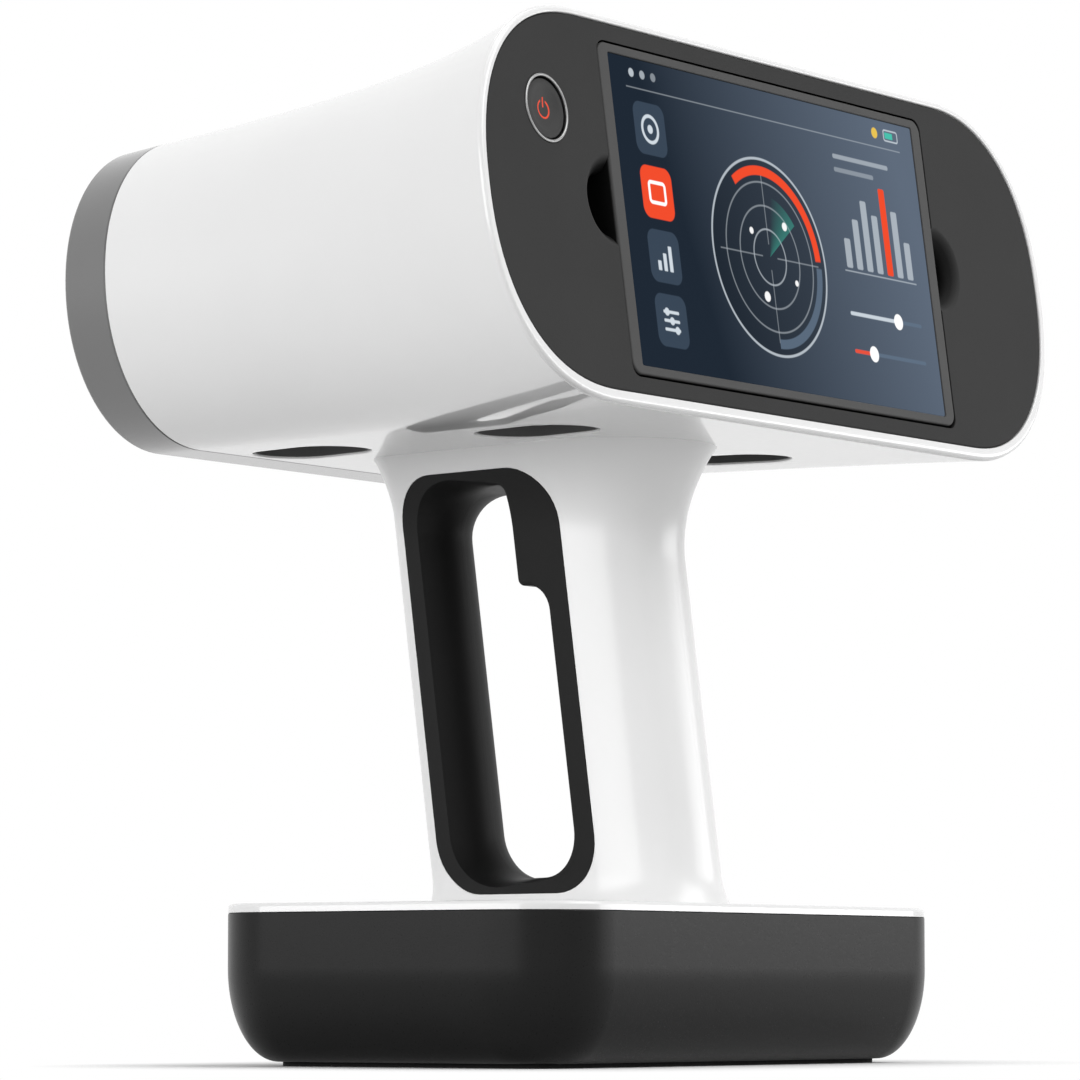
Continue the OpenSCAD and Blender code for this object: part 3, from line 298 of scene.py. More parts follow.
def solid(name, points, faces):
    """A mesh object at the origin, with doubles merged and its faces turned outwards."""
    mesh = bpy.data.meshes.new(name)
    mesh.from_pydata(np.asarray(points, float).reshape(-1, 3).tolist(), [], faces)
    made = bmesh.new()
    made.from_mesh(mesh)
    bmesh.ops.remove_doubles(made, verts=made.verts, dist=1e-7)
    bmesh.ops.dissolve_degenerate(made, edges=made.edges, dist=1e-8)
    bmesh.ops.recalc_face_normals(made, faces=made.faces)
    made.to_mesh(mesh)
    made.free()
    obj = bpy.data.objects.new(name, mesh)
    bpy.context.scene.collection.objects.link(obj)
    return obj


def loft(name, rings, wrap=False):
    """Surface through rings of points: a closed tube if wrapped, else a solid with a cap at each end."""
    rings = np.asarray(rings, float)
    rows, cols = rings.shape[:2]
    faces = grid_faces(rows, cols, wrap).tolist()
    if not wrap:
        faces.append(list(range(cols))[::-1])
        faces.append(list(range((rows - 1) * cols, rows * cols)))
    return solid(name, rings, faces)


def lathe(name, profile, place, steps=96, tube=False):
    """Surface of revolution: each profile point's radius goes round the local z axis, and place maps
    local x, y and z into the frame. The profile starts and ends on the axis, or closes as a tube."""
    r, z = np.asarray(profile, float).T
    q = once_round(steps)
    return loft(name, place(r[:, None] * np.cos(q), r[:, None] * np.sin(q), z[:, None] + 0 * q), tube)


def prism(name, outline, low, high, place):
    """Straight prism on an outline between two local heights."""
    x, y = outline[:2]
    z = np.array([low, high])[:, None]
    return loft(name, place(x + 0 * z, y + 0 * z, z + 0 * x))


def rod(name, d, low, high, x, y, place, steps=64):
    """Cylinder along the local z axis through a local point."""
    q = once_round(steps)
    return prism(name, (x + d / 2 * np.cos(q), y + d / 2 * np.sin(q)), low, high, place)


def upright(x, y, z):
    """Local axes that are the frame's own."""
    return np.stack(np.broadcast_arrays(x, y, z), -1)


def directions(place):
    """Origin of local axes in the frame, and their directions up y and out along z."""
    origin = place(0.0, 0.0, 0.0)
    return origin, place(0.0, 1.0, 0.0) - origin, place(0.0, 0.0, 1.0) - origin


def map_flat(obj, origin, up, wide, tall, middle=0.5):
    """UV map that lays the piece flat on a plane: x across and up the plane, a unit over the sizes, with the
    origin at the given middle."""
    mesh = obj.data
    co = np.empty(len(mesh.vertices) * 3)
    mesh.vertices.foreach_get("co", co)
    co = co.reshape(-1, 3) - origin
    flat = np.stack([co[:, 0] / wide, co @ up / tall], -1) + middle
    loops = np.empty(len(mesh.loops), int)
    mesh.loops.foreach_get("vertex_index", loops)
    mesh.uv_layers.new(name="flat").data.foreach_set("uv", flat[loops].ravel())


def carve(target, tools, operation="DIFFERENCE"):
    """Cuts, joins or intersects a mesh with other closed meshes, which are used up."""
    for tool in tools:
        step = target.modifiers.new("carve", "BOOLEAN")
        step.object = tool
        step.operation = operation
        step.solver = "EXACT"
    bpy.context.view_layer.update()
    shape = target.evaluated_get(bpy.context.evaluated_depsgraph_get())
    mesh = bpy.data.meshes.new_from_object(shape)
    old = target.data
    target.modifiers.clear()
    target.data = mesh
    mesh.name = old.name
    bpy.data.meshes.remove(old)
    for tool in tools:
        bpy.data.meshes.remove(tool.data)
    return target


def dress(obj, finish, body, nodes=(), sharp=32, flat=True):
    """Gives a piece its finish, smooth faces with edges sharp past an angle, normals that follow its large
    flat faces, and its body, and hides the nodes that it stands for."""
    mesh = obj.data
    mesh.materials.clear()
    mesh.materials.append(finish)
    mesh.polygons.foreach_set("use_smooth", np.ones(len(mesh.polygons), bool))
    mesh.set_sharp_from_angle(angle=math.radians(sharp))
    if flat:
        obj.modifiers.new("flat faces", "WEIGHTED_NORMAL").keep_sharp = True
    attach(obj, body)
    if nodes:
        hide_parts(*nodes)
    return obj


# Shader maths

class Value:
    """A shader socket: arithmetic on it adds Math nodes."""

    def __init__(self, finish, socket):
        self.finish = finish
        self.socket = socket

    def math(self, operation, *others):
        """A Math node's operation on the value and any others."""
        inputs = dict(enumerate((self, *others)))
        return self.finish.node("ShaderNodeMath", {"operation": operation}, inputs)

    def reflected(self, operation, other):
        """The operation with a plain number in front."""
        return self.finish.node("ShaderNodeMath", {"operation": operation}, {0: other, 1: self})

    def __add__(self, other):
        return self.math("ADD", other)

    def __radd__(self, other):
        return self.reflected("ADD", other)

    def __sub__(self, other):
        return self.math("SUBTRACT", other)

    def __rsub__(self, other):
        return self.reflected("SUBTRACT", other)

    def __mul__(self, other):
        return self.math("MULTIPLY", other)

    def __rmul__(self, other):
        return self.reflected("MULTIPLY", other)

    def __truediv__(self, other):
        return self.math("DIVIDE", other)

    def __rtruediv__(self, other):
        return self.reflected("DIVIDE", other)

    def __pow__(self, other):
        return self.math("POWER", other)

    def __abs__(self):
        return self.math("ABSOLUTE")

    def least(self, other):
        """The lesser of the two."""
        return self.math("MINIMUM", other)

    def most(self, other):
        """The greater of the two."""
        return self.math("MAXIMUM", other)

    def root(self):
        """The square root."""
        return self.math("SQRT")

    def part(self, name):
        """Another output of the same node."""
        return Value(self.finish, self.socket.node.outputs[name])

    def between(self, low, high):
        """0 to 1 as the value goes from low to high, held at both ends."""
        return self.finish.node("ShaderNodeMapRange", {"clamp": True},
                                {"Value": self, "From Min": low, "From Max": high})


class Finish:
    """A material, or another of Blender's stores with nodes, such as a world."""

    def __init__(self, name, store=None):
        self.made = (bpy.data.materials if store is None else store).new(name)
        self.made.use_nodes = True
        self.tree = self.made.node_tree
        self.tree.nodes.clear()

    def node(self, kind, settings=None, inputs=None, out=0):
        """Adds a node: its settings first, then the values or links of its sockets."""
        made = self.tree.nodes.new(kind)
        for key, value in (settings or {}).items():
            setattr(made, key, value)
        for key, value in (inputs or {}).items():
            if isinstance(value, Value):
                self.tree.links.new(value.socket, made.inputs[key])
            else:
                made.inputs[key].default_value = value
        return Value(self, made.outputs[out])

    def mix(self, factor, first, second):
        """Colour between two colours, on the Mix node's sockets for colours."""
        return self.node("ShaderNodeMix", {"data_type": "RGBA"}, {0: factor, 6: first, 7: second}, 2)

    def place(self, output="Object"):
        """Object coordinates, or the piece's own UV map."""
        return self.node("ShaderNodeTexCoord", out=output)

    def noise(self, scale, detail=2, rough=0.5, stretch=None):
        """Noise over the object, about 0.5."""
        where = self.place()
        if stretch:
            where = self.node("ShaderNodeMapping", {}, {"Vector": where, "Scale": stretch})
        return self.node("ShaderNodeTexNoise", {},
                         {"Vector": where, "Scale": scale, "Detail": detail, "Roughness": rough})

    def bump(self, height, strength, distance):
        """Normal of a surface raised by a height."""
        return self.node("ShaderNodeBump", {}, {"Height": height, "Strength": strength, "Distance": distance})

    def surface(self, inputs):
        """Ends the material in a Principled surface."""
        return self.end(self.node("ShaderNodeBsdfPrincipled", {}, inputs))

    def end(self, shader, kind="ShaderNodeOutputMaterial"):
        """Ends the nodes in an output and gives the material or world."""
        out = self.tree.nodes.new(kind)
        self.tree.links.new(shader.socket, out.inputs["Surface"])
        return self.made


def rgba(code, level=1.0):
    """A colour with full alpha, brought up or down."""
    rgb = linear(code) if isinstance(code, str) else code
    return (*(min(1, c * level) for c in rgb), 1)


MADE = {}


def finish_of(name, make):
    """A finish that is made once and shared."""
    if name not in MADE:
        MADE[name] = make(name)
    return MADE[name]


def face_depth(f):
    """Depth below the bezel's front in millimetres, as a shader value, for the painted shade of sunk parts.
    """
    place = face_place(settings("scanner_head"))
    out = directions(place)[2]
    level = float(place(0.0, 0.0, -settings("scanner_face").drop) @ out)
    height = f.node("ShaderNodeVectorMath", {"operation": "DOT_PRODUCT"}, {0: f.place(), 1: tuple(out)},
                    "Value")
    return (level - height) / MM


def moulded(name, base, rough, grain, depth, specular=0.3, coat=0.0, vary=0.06, sunk_shade=None):
    """Moulded plastic: a base colour with a faint cloud, a fine grain in the bump and in the roughness.
    Sunk parts of the face may go over to a second, darker colour between two depths in millimetres: painted
    shade in the recesses."""
    f = Finish(name)
    cloud = f.noise(38, 3)
    speck = f.noise(grain, 2, 0.6)
    shade = f.mix(cloud.between(0.3, 0.7), rgba(base, 1 - vary), rgba(base, 1 + vary))
    shade = f.mix(speck.between(0.35, 0.75) * (2 * vary), shade, rgba(base, 1.35))
    # Painted shade: below the bezel's front the colour goes over to near-black with depth, standing in for
    # the shade in the well, the scoops and at the panel's sides
    if sunk_shade:
        shade = f.mix(face_depth(f).between(*sunk_shade[1:]), shade, rgba(sunk_shade[0]))
    return f.surface({"Base Color": shade, "Roughness": rough + (speck - 0.5) * 0.16,
                      "Normal": f.bump(speck, depth, 0.00012), "Specular IOR Level": specular,
                      "Coat Weight": coat, "Coat Roughness": 0.14})


def gloss_white(name, coat_rough=0.03, coat=0.95):
    """Gloss white paint: a clear coat over a faintly uneven ground, with a trace of orange peel."""
    f = Finish(name)
    base = settings("scanner_finish").white
    cloud = f.noise(24, 3)
    peel = f.noise(520, 1)
    return f.surface({"Base Color": f.mix(cloud.between(0.3, 0.7), rgba(base, 0.985), rgba(base, 1.01)),
                      "Roughness": 0.3 + cloud * 0.06, "Normal": f.bump(peel, 0.02, 0.0001),
                      "Coat Weight": coat + peel * 0.05, "Coat Roughness": coat_rough,
                      "Specular IOR Level": 0.4})


def metal(name, base, rough, stretch=(1, 1, 24), depth=0.08):
    """Brushed metal: fine lines in the bump, the roughness and the tone."""
    f = Finish(name)
    lines = f.noise(700, 2, 0.6, stretch)
    tone = f.mix(lines.between(0.25, 0.75), rgba(base, 0.86), rgba(base, 1.08))
    return f.surface({"Base Color": tone, "Metallic": 1.0, "Roughness": rough + (lines - 0.5) * 0.2,
                      "Normal": f.bump(lines, depth, 0.00006)})


def circuit(name):
    """Circuit board: green lacquer with paler copper runs on a fine grid and small pads."""
    f = Finish(name)
    where = f.place()
    runs = f.node("ShaderNodeTexBrick", {"offset": 0.37, "squash": 1.7},
                  {"Vector": where, "Scale": 160, "Mortar Size": 0.06, "Brick Width": 0.9,
                   "Row Height": 0.35}, 1)
    pads = f.node("ShaderNodeTexVoronoi", {}, {"Vector": where, "Scale": 260}).between(0.22, 0.16)
    cloud = f.noise(60, 3)
    ground = f.mix(cloud.between(0.3, 0.7), rgba("12452c"), rgba("1a5a3a"))
    ground = f.mix(runs * 0.7, ground, rgba("3c8157"))
    return f.surface({"Base Color": f.mix(pads * 0.85, ground, rgba("c9a25a")),
                      "Roughness": 0.42 - pads * 0.12, "Metallic": pads * 0.8,
                      "Normal": f.bump(runs + pads, 0.2, 0.0001)})


def rubber(name):
    """Dull rubber with a pebble grain."""
    f = Finish(name)
    pebble = f.node("ShaderNodeTexVoronoi", {}, {"Vector": f.place(), "Scale": 900})
    return f.surface({"Base Color": f.mix(pebble.between(0, 0.7), rgba("202020"), rgba("121212")),
                      "Roughness": 0.82 - pebble * 0.1, "Normal": f.bump(pebble, 0.35, 0.0003),
                      "Specular IOR Level": 0.25})


def cell_wrap(name):
    """Shrink wrap of a battery cell: blue film with faint creases round it."""
    f = Finish(name)
    crease = f.noise(90, 3, 0.6, (1, 7, 1))
    return f.surface({"Base Color": f.mix(crease.between(0.3, 0.7), rgba("28527f"), rgba("3a6ea5")),
                      "Roughness": 0.3 + crease * 0.12, "Normal": f.bump(crease, 0.12, 0.0003)})


def lens_glass(name):
    """Bloomed glass of a window, which reflects little, with the faintest haze in its tone."""
    f = Finish(name)
    haze = f.noise(120, 2)
    return f.surface({"Base Color": f.mix(haze.between(0.3, 0.7), rgba("c4ccd4"), rgba("d2dae2")),
                      "Roughness": 0.01, "Transmission Weight": 1.0, "IOR": 1.2})


def coated_lens(name):
    """Coated lens: dark glass whose coat's tint, a painted reflection in its colour, goes from violet to
    green with the distance from its axis.
    """
    f = Finish(name)
    ring = f.node("ShaderNodeTexGradient", {"gradient_type": "SPHERICAL"}, {"Vector": f.place("UV")})
    # Painted reflection: the coat's green and violet tints are laid into the base colour, with near-black
    # towards the rim
    tone = f.mix(ring.between(0.1, 0.6), rgba("1c3d33"), rgba("2c1f4a"))
    tone = f.mix(ring.between(0.55, 0.95), tone, rgba("08080e"))
    return f.surface({"Base Color": tone, "Roughness": 0.05 + ring * 0.03, "Coat Weight": 0.25,
                      "Coat Roughness": 0.02, "Specular IOR Level": 0.35})


def lamp_lens(name):
    """Lamp's clear dome over a pale yellow emitter."""
    f = Finish(name)
    spark = f.noise(900, 2)
    return f.surface({"Base Color": f.mix(spark.between(0.35, 0.65), rgba("efe9cf"), rgba("fffdf2")),
                      "Roughness": 0.18 + spark * 0.1, "Coat Weight": 0.8,
                      "Normal": f.bump(spark, 0.1, 0.0002)})


def painted(key):
    """Finish of one of the scene's own colours."""
    colours = settings("scanner_finish")
    kinds = {
        "ring_grey": lambda n: moulded(n, colours.ring, 0.4, 2600, 0.06, 0.4, 0.9, 0.03),
        # The near-black 0d0d0d below the bezel's and the panel's fronts is painted shade in the well, the
        # scoops and at the panel's sides
        "bezel_grey": lambda n: moulded(n, colours.bezel, 0.62, 3200, 0.22, 0.12, sunk_shade=("0d0d0d", 0.25, 1.3)),
        "panel_grey": lambda n: moulded(n, colours.panel, 0.5, 3200, 0.12, 0.14, sunk_shade=("0d0d0d", 0.45, 0.8)),
        "liner_black": lambda n: moulded(n, colours.liner, 0.5, 2800, 0.16, 0.12),
        "tub_charcoal": lambda n: moulded(n, colours.tub, 0.3, 2400, 0.14, 0.13),
        "vent_black": lambda n: moulded(n, "5c5c5c", 0.5, 2600, 0.1, 0.3),
        "optic_black": lambda n: moulded(n, "151517", 0.4, 2600, 0.12, 0.35),
        "white_gloss": gloss_white,
        "grip_white": lambda n: gloss_white(n, 0.22, 0.6),
        "steel": lambda n: metal(n, "a9abae", 0.3),
        "bare_metal": lambda n: metal(n, "bcbec2", 0.36),
        "ring_metal": lambda n: metal(n, "8c8c8c", 0.34, (1, 1, 1), 0.03),
        "brass": lambda n: metal(n, "c9a55a", 0.28),
        "board_green": circuit,
        "foot_rubber": rubber,
        "cell_wrap": cell_wrap,
        "optic_glass": lens_glass,
        "coated_lens": coated_lens,
        "lamp_white": lamp_lens,
        "display": display_picture,
        "power_mark": power_mark,
    }
    return finish_of(key, kinds[key])


# Marks drawn by distance: negative inside a shape, in millimetres of the piece's UV map

def dot(x, y, cx, cy, r):
    """Distance to a disc."""
    return (((x - cx) ** 2 + (y - cy) ** 2).root()) - r


def block(x, y, cx, cy, w, h, r=0.0):
    """Distance to a rectangle with round corners."""
    dx = abs(x - cx) - (w / 2 - r)
    dy = abs(y - cy) - (h / 2 - r)
    outer = (dx.most(0.0) ** 2 + dy.most(0.0) ** 2).root()
    return outer + dx.most(dy).least(0.0) - r


def ink(distance, soft=0.12):
    """Cover of a shape, 1 inside and 0 outside, over a soft edge."""
    return distance.between(soft, -soft)


def line(distance, thick):
    """Distance to the outline of a shape."""
    return abs(distance) - thick / 2


MARK_SIZE = 20.0
DISPLAY_SIZE = 125.0, 70.3


def power_mark(name):
    """Power button: dark soft plastic with the common power sign, an open ring and a bar, in the accent. The
    printed sign also glows faintly, which is painted light.
    """
    f = Finish(name)
    colours = settings("scanner_finish")
    where = f.node("ShaderNodeSeparateXYZ", {}, {0: f.place("UV")})
    x, y = (where.part("X") - 0.5) * MARK_SIZE, (where.part("Y") - 0.5) * MARK_SIZE
    ring = line(dot(x, y, 0, -0.1, 1.95), 0.42)
    gap = block(x, y, 0, 2.0, 1.7, 3.0)
    bar = block(x, y, 0, 1.45, 0.42, 2.3, 0.2)
    sign = (ink(ring, 0.07) * (1 - ink(gap, 0.07))).most(ink(bar, 0.07))
    grain = f.noise(3000, 2, 0.6)
    shade = f.mix(grain.between(0.3, 0.7), rgba("262626"), rgba("2c2c2c"))
    return f.surface({"Base Color": f.mix(sign, shade, rgba(colours.accent)),
                      "Roughness": 0.5 + (grain - 0.5) * 0.14, "Normal": f.bump(grain, 0.1, 0.0001),
                      # Painted light: the printed sign glows faintly in the accent, though nothing lights it
                      "Emission Color": f.mix(sign, (0, 0, 0, 1), rgba(colours.accent)),
                      "Emission Strength": 0.04, "Specular IOR Level": 0.2})


def display_picture(name):
    """Display: a navy ground that grows lighter to the right, a strip at the top, a column of tiles with
    round corners, a dial with an accent arc, bars and two sliders. No words."""
    f = Finish(name)
    colours = settings("scanner_finish")
    where = f.node("ShaderNodeSeparateXYZ", {}, {0: f.place("UV")})
    x, y = ((where.part(axis) - 0.5) * size for axis, size in zip("XY", DISPLAY_SIZE))
    mark = rgba(colours.mark)
    accent = rgba(colours.accent)
    rise = (x + y * 0.35).between(-40, 62)
    picture = f.mix(rise, rgba(colours.screen_low), rgba(colours.screen_high))

    def lay(cover, tone, strength=1.0):
        """Lays a tone over the picture, by the cover times the strength."""
        nonlocal picture
        picture = f.mix(cover * strength if strength < 1 else cover, picture, tone)

    # Strip along the top
    lay(ink(block(x, y, 0, 28.4, 113, 0.25)), mark, 0.35)
    for k in range(3):
        lay(ink(dot(x, y, -54 + 4.2 * k, 31.8, 1.0)), mark, 0.75 - 0.2 * k)
    lay(ink(line(block(x, y, 53, 31.8, 6.0, 2.6, 0.6), 0.35)), mark, 0.8)
    lay(ink(block(x, y, 52.2, 31.8, 3.4, 1.5, 0.2)), rgba("45b8a5"))
    lay(ink(dot(x, y, 46, 31.8, 1.3)), rgba("e9c24a"), 0.9)
    # Tiles down the left side
    for k, cy in enumerate((19.5, 5.0, -9.5, -24.0)):
        tile = ink(block(x, y, -49, cy, 12, 12, 2.6))
        lay(tile, accent if k == 1 else rgba("3a4858"), 1.0 if k == 1 else 0.8)
    lay(ink(line(dot(x, y, -49, 19.5, 3.0), 0.8)), mark)
    lay(ink(dot(x, y, -49, 19.5, 1.0)), mark)
    lay(ink(line(block(x, y, -49, 5.0, 6.0, 4.6, 0.8), 0.8)), rgba("ffffff"))
    for k in range(3):
        lay(ink(block(x, y, -51.2 + 2.2 * k, -11.6 + 0.9 * k, 1.3, 2.2 + 1.8 * k, 0.2)), mark)
    for k in range(3):
        lay(ink(block(x, y, -49, -22.0 - 2.0 * k, 6.0, 0.7, 0.3)), mark)
        lay(ink(dot(x, y, -50.6 + 1.7 * k, -22.0 - 2.0 * k, 0.9)), mark)
    # Dial in the middle
    far = dot(x, y, -6, -4.5, 0.0)
    lay(ink(far - 23.0), rgba("101820"), 0.5)
    for r, level in ((23.0, 0.7), (17.5, 0.32), (12.0, 0.32), (6.5, 0.5)):
        lay(ink(line(far - r, 0.4 if r < 20 else 0.6)), mark, level)
    lay(ink(block(x, y, -6, -4.5, 40, 0.3)) * (1 - ink(far - 3.0)), mark, 0.3)
    lay(ink(block(x, y, -6, -4.5, 0.3, 40)) * (1 - ink(far - 3.0)), mark, 0.3)
    sweep = (x + 6).math("ARCTAN2", y + 4.5)
    lay(ink(line(far - 20.2, 2.2)) * sweep.between(-0.62, -0.6) * sweep.between(1.52, 1.5), accent)
    lay(ink(line(far - 20.2, 2.2)) * sweep.between(1.58, 1.6), rgba("5c6d80"), 0.8)
    lay(ink(far - 14.6) * sweep.between(0.2, 0.9) * sweep.between(0.94, 0.93), rgba("45b8a5"), 0.3)
    for cx, cy, r in ((1.5, 3.5, 1.0), (-12.5, 1.0, 0.8), (-9.0, -14.0, 1.2), (4.0, -9.5, 0.7)):
        lay(ink(dot(x, y, cx, cy, r)), rgba("ffffff"), 0.85)
    # Bars, lines and sliders at the right
    for k, tall in enumerate((7, 12, 17, 14, 21, 16, 9)):
        lay(ink(block(x, y, 28 + 4.4 * k, -3 + tall / 2, 2.6, tall, 0.5)), accent if k == 4 else mark,
            1.0 if k == 4 else 0.55)
    lay(ink(block(x, y, 41.2, -3.8, 31, 0.3)), mark, 0.5)
    for k, wide in enumerate((24, 17)):
        lay(ink(block(x, y, 26 + wide / 2, 23.6 - 3.2 * k, wide, 1.1, 0.5)), mark, 0.45 - 0.15 * k)
    for k, at in enumerate((46.5, 34.0)):
        lay(ink(block(x, y, 41.2, -14 - 9 * k, 31, 0.9, 0.45)), rgba("5c6d80"), 0.8)
        lay(ink(block(x, y, (25.7 + at) / 2, -14 - 9 * k, at - 25.7, 0.9, 0.45)), accent if k else mark,
            0.9)
        lay(ink(dot(x, y, at, -14 - 9 * k, 1.9)), rgba("ffffff"), 0.95)
    dust = f.noise(220, 3)
    return f.surface({"Base Color": f.mix(0.85, picture, (0, 0, 0, 1)), "Roughness": 0.3 + dust * 0.06,
                      "IOR": 1.03, "Emission Color": picture, "Emission Strength": 0.96})


# Shape of the head

def taper(h, u):
    """Share of the rear size left at u: a straight part plus a flare at the rear."""
    return h.taper_straight * (1 - u) + (1 - h.taper_straight) * (1 - u) ** h.flare_power


def section_place(h, u, x, v, z=0.0):
    """Point on the head's section at u: x across, v up the leaning section, z back off it."""
    lean = h.face_lean + (h.front_lean - h.face_lean) * u
    y = -h.face_back + (h.front_y + h.face_back) * u + v * np.sin(lean) - z * np.cos(lean)
    return np.stack(np.broadcast_arrays(x, y, h.under_z + v * np.cos(lean) + z * np.sin(lean)), -1)


def section_rings(h, u, shrink=0.0, floor=None):
    """Rings of the head on a column of u: stadiums between the rear rim's and the front ring's sizes. With
    a floor the ring is the inner wall, level over that floor."""
    u = np.asarray(u, float)[:, None]
    t = taper(h, u)
    half_w = (h.front_w + (h.face_w - h.front_w) * t) / 2 - shrink
    tall = h.front_h + (h.face_h - h.front_h) * t
    run = (h.front_run + (h.face_run - h.front_run) * t) / 2
    power = h.face_power + (h.front_power - h.face_power) * u
    if floor is None:
        x, y = stadium(half_w, tall / 2 - shrink, run, power)
        return section_place(h, u, x, y + tall / 2)
    half = (tall - h.wall - floor) / 2
    x, y = stadium(half_w, half, run, power)
    return section_place(h, u, x, y + floor + half)


def bezel_half(h):
    """Half-width and half-height of the bezel inside the white rim."""
    return h.face_w / 2 - h.rim_side, h.face_h / 2 - h.rim_end


def panel_size(h, s):
    """Width and height of the screen panel inside the bezel's strips."""
    half_w, half_h = bezel_half(h)
    return 2 * (half_w - s.side_strip), 2 * (half_h - s.end_strip)


def neck_screw_places():
    """Middles of the four screws between the grip and the head."""
    return [(side * 6.5 * MM, y * MM) for side in (-1, 1) for y in (46, 16)]


def face_place(h):
    """Maps x across, y up the face from the bezel's middle and z out of the face into the frame."""
    mid = h.face_h / 2 + h.bezel_up
    return lambda x, y, z: section_place(h, 0.0, x, mid + y, z)


def face_rings(h, half_w, half_h, z, mid):
    """Rings in the face's plane: stadiums of given half-sizes at heights z out of it, about a middle."""
    half_w, half_h, z = (np.asarray(v, float)[:, None] for v in (half_w, half_h, z))
    x, y = stadium(half_w, half_h, h.face_run / 2, h.face_power)
    return section_place(h, 0.0, x, mid + y, z + 0 * x)


def front_rings(h, shrink, back):
    """Rings at the front ring's mouth, drawn in by shrink and set back from it."""
    shrink, back = (np.asarray(v, float)[:, None] for v in (shrink, back))
    x, y = stadium(h.front_w / 2 - shrink, h.front_h / 2 - shrink, h.front_run / 2, h.front_power)
    return section_place(h, 1.0, x, h.front_h / 2 + y, back + 0 * x)


def front_place(h):
    """Maps x across, y up the front ring and z back into the head, from the ring's middle."""
    return lambda x, y, z: section_place(h, 1.0, x, h.front_h / 2 + y, z)


def vent_places():
    """Middles of the four vents in the underside."""
    return [(side * x * MM, y * MM) for side in (-1, 1) for x, y in ((38.3, -14), (33, 55))]


def vent_turned(h, at, x, y, z):
    """Maps a vent's own x, y and z, with its long side along y, into the frame."""
    turn = math.copysign(h.vent_turn, at[0])
    return upright(at[0] + x * math.cos(turn) - y * math.sin(turn),
                   at[1] + x * math.sin(turn) + y * math.cos(turn), z)


def vent_oval(name, h, at, grow, z):
    """Solid on ovals of half-round ends: the vent's own oval spread by grow at heights z."""
    q = once_round(96)
    grow, z = np.asarray(grow, float)[:, None], np.asarray(z, float)[:, None]
    x = (h.vent_w / 2 + grow) * np.cos(q)
    y = (h.vent_w / 2 + grow) * np.sin(q) + np.sign(np.sin(q)) * (h.vent_l - h.vent_w) / 2
    return loft(name, vent_turned(h, at, x, y, z + 0 * x))


def vent_tool(name, h, at):
    """Oval cutter whose sides spread at the underside, so that the vent's edge is round."""
    out, down = quarter(SMALL_EDGE, 4)
    low = h.under_z
    return vent_oval(name, h, at, [SMALL_EDGE, *down, 0.0], [low - 1.2 * MM, *(low + out), low + 12 * MM])


class SCANNER_OT_vents(bpy.types.Operator):
    """Make the vents' dark cups: an oval tube with a flange inside the head and slats across its top"""
    bl_idname = "scanner.vents"
    bl_label = "Vents"

    def execute(self, context):
        h = settings("scanner_head")
        low, floor = h.under_z + 0.4 * MM, h.under_z + h.floor_t
        gap, bevel, flange, flange_t = -0.1 * MM, 0.25 * MM, 2 * MM, 1.2 * MM
        slot_w, slot_pitch, border = 1.5 * MM, 2.45 * MM, 1.4 * MM
        for k, at in enumerate(vent_places()):
            cup = vent_oval(f"vent_cup_{k}", h, at, [gap - bevel, gap, gap, flange, flange],
                            [low, low + bevel, floor, floor, floor + flange_t])
            bore = vent_oval("bore_tool", h, at, [-0.7 * MM, -0.9 * MM], [low - 2 * MM, floor - 0.8 * MM])
            carve(cup, [bore])
            slots = []
            for n in range(-3, 4):
                x = n * slot_pitch
                run = (h.vent_l - h.vent_w) / 2 + math.sqrt((h.vent_w / 2 - border) ** 2 - x ** 2)
                outline = rounded_rectangle(slot_w, 2 * run, 0.7 * MM, 5, 2)
                place = lambda a, b, c, x=x: vent_turned(h, at, a + x, b, c)
                slots.append(prism(f"slot_tool_{n}", outline, floor - 2 * MM, floor + 3 * MM, place))
            carve(cup, slots)
            dress(cup, painted("vent_black"), "scanner", ["vent_grilles"])
        return {"FINISHED"}


